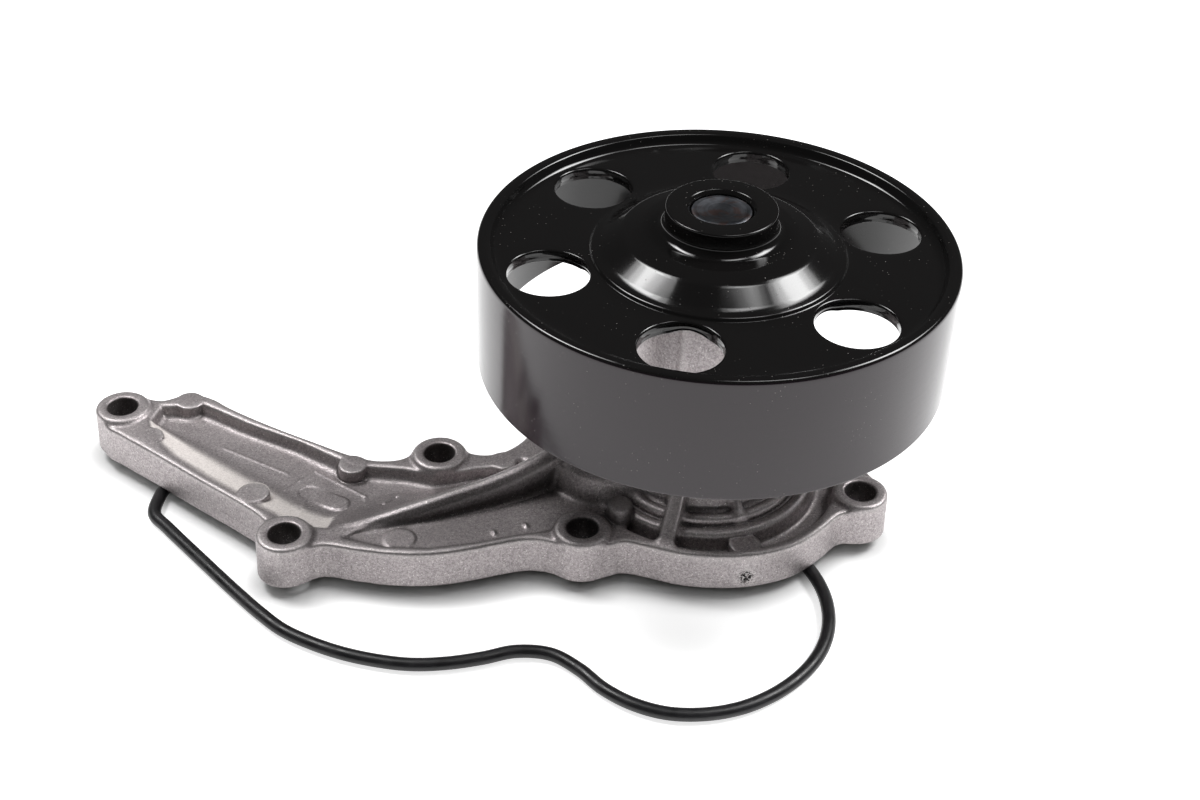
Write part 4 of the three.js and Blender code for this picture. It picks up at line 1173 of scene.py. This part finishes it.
def make_floor():
    """White paper on a light table; the table's glow fades out under and close beside the casting as a painted contact
    shadow, and the paper under the casting is painted dark as painted shade.
    """
    far = [0.3, 0.45, 0.8, 1.6, 4]
    xs = np.concatenate([[-v - 0.15 for v in far[::-1]], np.arange(-0.24, 0.13, FLOOR_CELL), far])
    ys = np.concatenate([[-v for v in far[::-1]], np.arange(-0.13, 0.12, FLOOR_CELL), far])
    xx, yy = np.meshgrid(xs, ys, indexing="ij")
    index = np.arange(xx.size).reshape(xx.shape)
    quads = np.stack([index[:-1, :-1], index[1:, :-1], index[1:, 1:], index[:-1, 1:]], -1).reshape(-1, 4)
    verts = np.stack([xx.ravel(), yy.ravel(), np.zeros(xx.size)], 1)
    obj = make_mesh("studio_floor", verts, quads, METRE)
    obj.location = (0, 0, TABLE_Z * MM - FLOOR_DROP)
    away = polygon_field(closed_curve(OUTLINE), xx / MM, yy / MM)
    for px, py in BOLTS:
        away = np.minimum(away, np.hypot(xx / MM - px, yy / MM - py) - 8)
    # painted contact shadow: the glow fades out under and beside the casting
    fade = np.clip((away.ravel() - SHADE_FROM) / SHADE_WIDTH, 0, 1)
    float_attribute(obj, "glow", fade * fade * (3 - 2 * fade))
    # painted shade: the paper under the casting is painted dark
    float_attribute(obj, "painted_shade_beneath", np.clip(-away.ravel() / 5 - 0.2, 0, 1))
    n = Shader("studio_paper")
    paper = n.mix(n.noise(3, 2, 0.5), (0.93, 0.93, 0.93), (0.94, 0.94, 0.94))
    n.set(Base_Color=n.mix(n.attribute("painted_shade_beneath"), paper, (0.06, 0.06, 0.06)), Roughness=0.9,
          Specular_IOR_Level=0.1, Emission_Color=(1, 1, 1, 1),
          Emission_Strength=n.times(n.attribute("glow"), FLOOR_GLOW))
    obj.data.materials.append(n.material)


def area_light(name, where, size, power):
    data = bpy.data.lights.new(name, "AREA")
    data.shape = "RECTANGLE"
    data.size, data.size_y = size
    data.energy = power
    obj = add_object(name, data)
    obj.location = where
    obj.rotation_euler = (Vector(AIM) - where).to_track_quat("-Z", "Y").to_euler()


def make_camera():
    """The photo's camera, fitted to the pulley's circles, in metres and radians."""
    where = Vector((0, -0.40225, 0.32582))
    pitch, yaw, roll = 0.6300, -0.0726, 0.0384
    ahead = Vector((math.sin(yaw) * math.cos(pitch), math.cos(yaw) * math.cos(pitch), -math.sin(pitch)))
    right = Vector((math.cos(yaw), -math.sin(yaw), 0))
    up = right.cross(ahead)
    x = right * math.cos(roll) + up * math.sin(roll)
    y = up * math.cos(roll) - right * math.sin(roll)
    data = bpy.data.cameras.new("camera")
    data.sensor_width = 36
    data.lens = 54.23
    data.clip_start = 0.01
    obj = add_object("camera", data)
    obj.matrix_world = Matrix((
        (x.x, y.x, -ahead.x, where.x), (x.y, y.y, -ahead.y, where.y), (x.z, y.z, -ahead.z, where.z), (0, 0, 0, 1),
    ))
    bpy.context.scene.camera = obj


def make_world(level):
    world = bpy.data.worlds.new("studio")
    world.use_nodes = True
    world.node_tree.nodes["Background"].inputs["Color"].default_value = (level, level, level, 1)
    bpy.context.scene.world = world


make_floor()
make_camera()
make_world(WORLD_LEVEL)
for name, where, size, radiance in SOFTBOXES:
    for i, (grow, share) in enumerate(NESTED):
        a, b = size[0] * grow, size[1] * grow
        place = Vector(where) * (1 - NESTED_LIFT * i)
        area_light(f"softbox_{name}_{i}", place, (a, b), share * radiance * math.pi * a * b)
bpy.context.scene.view_settings.view_transform = "Standard"
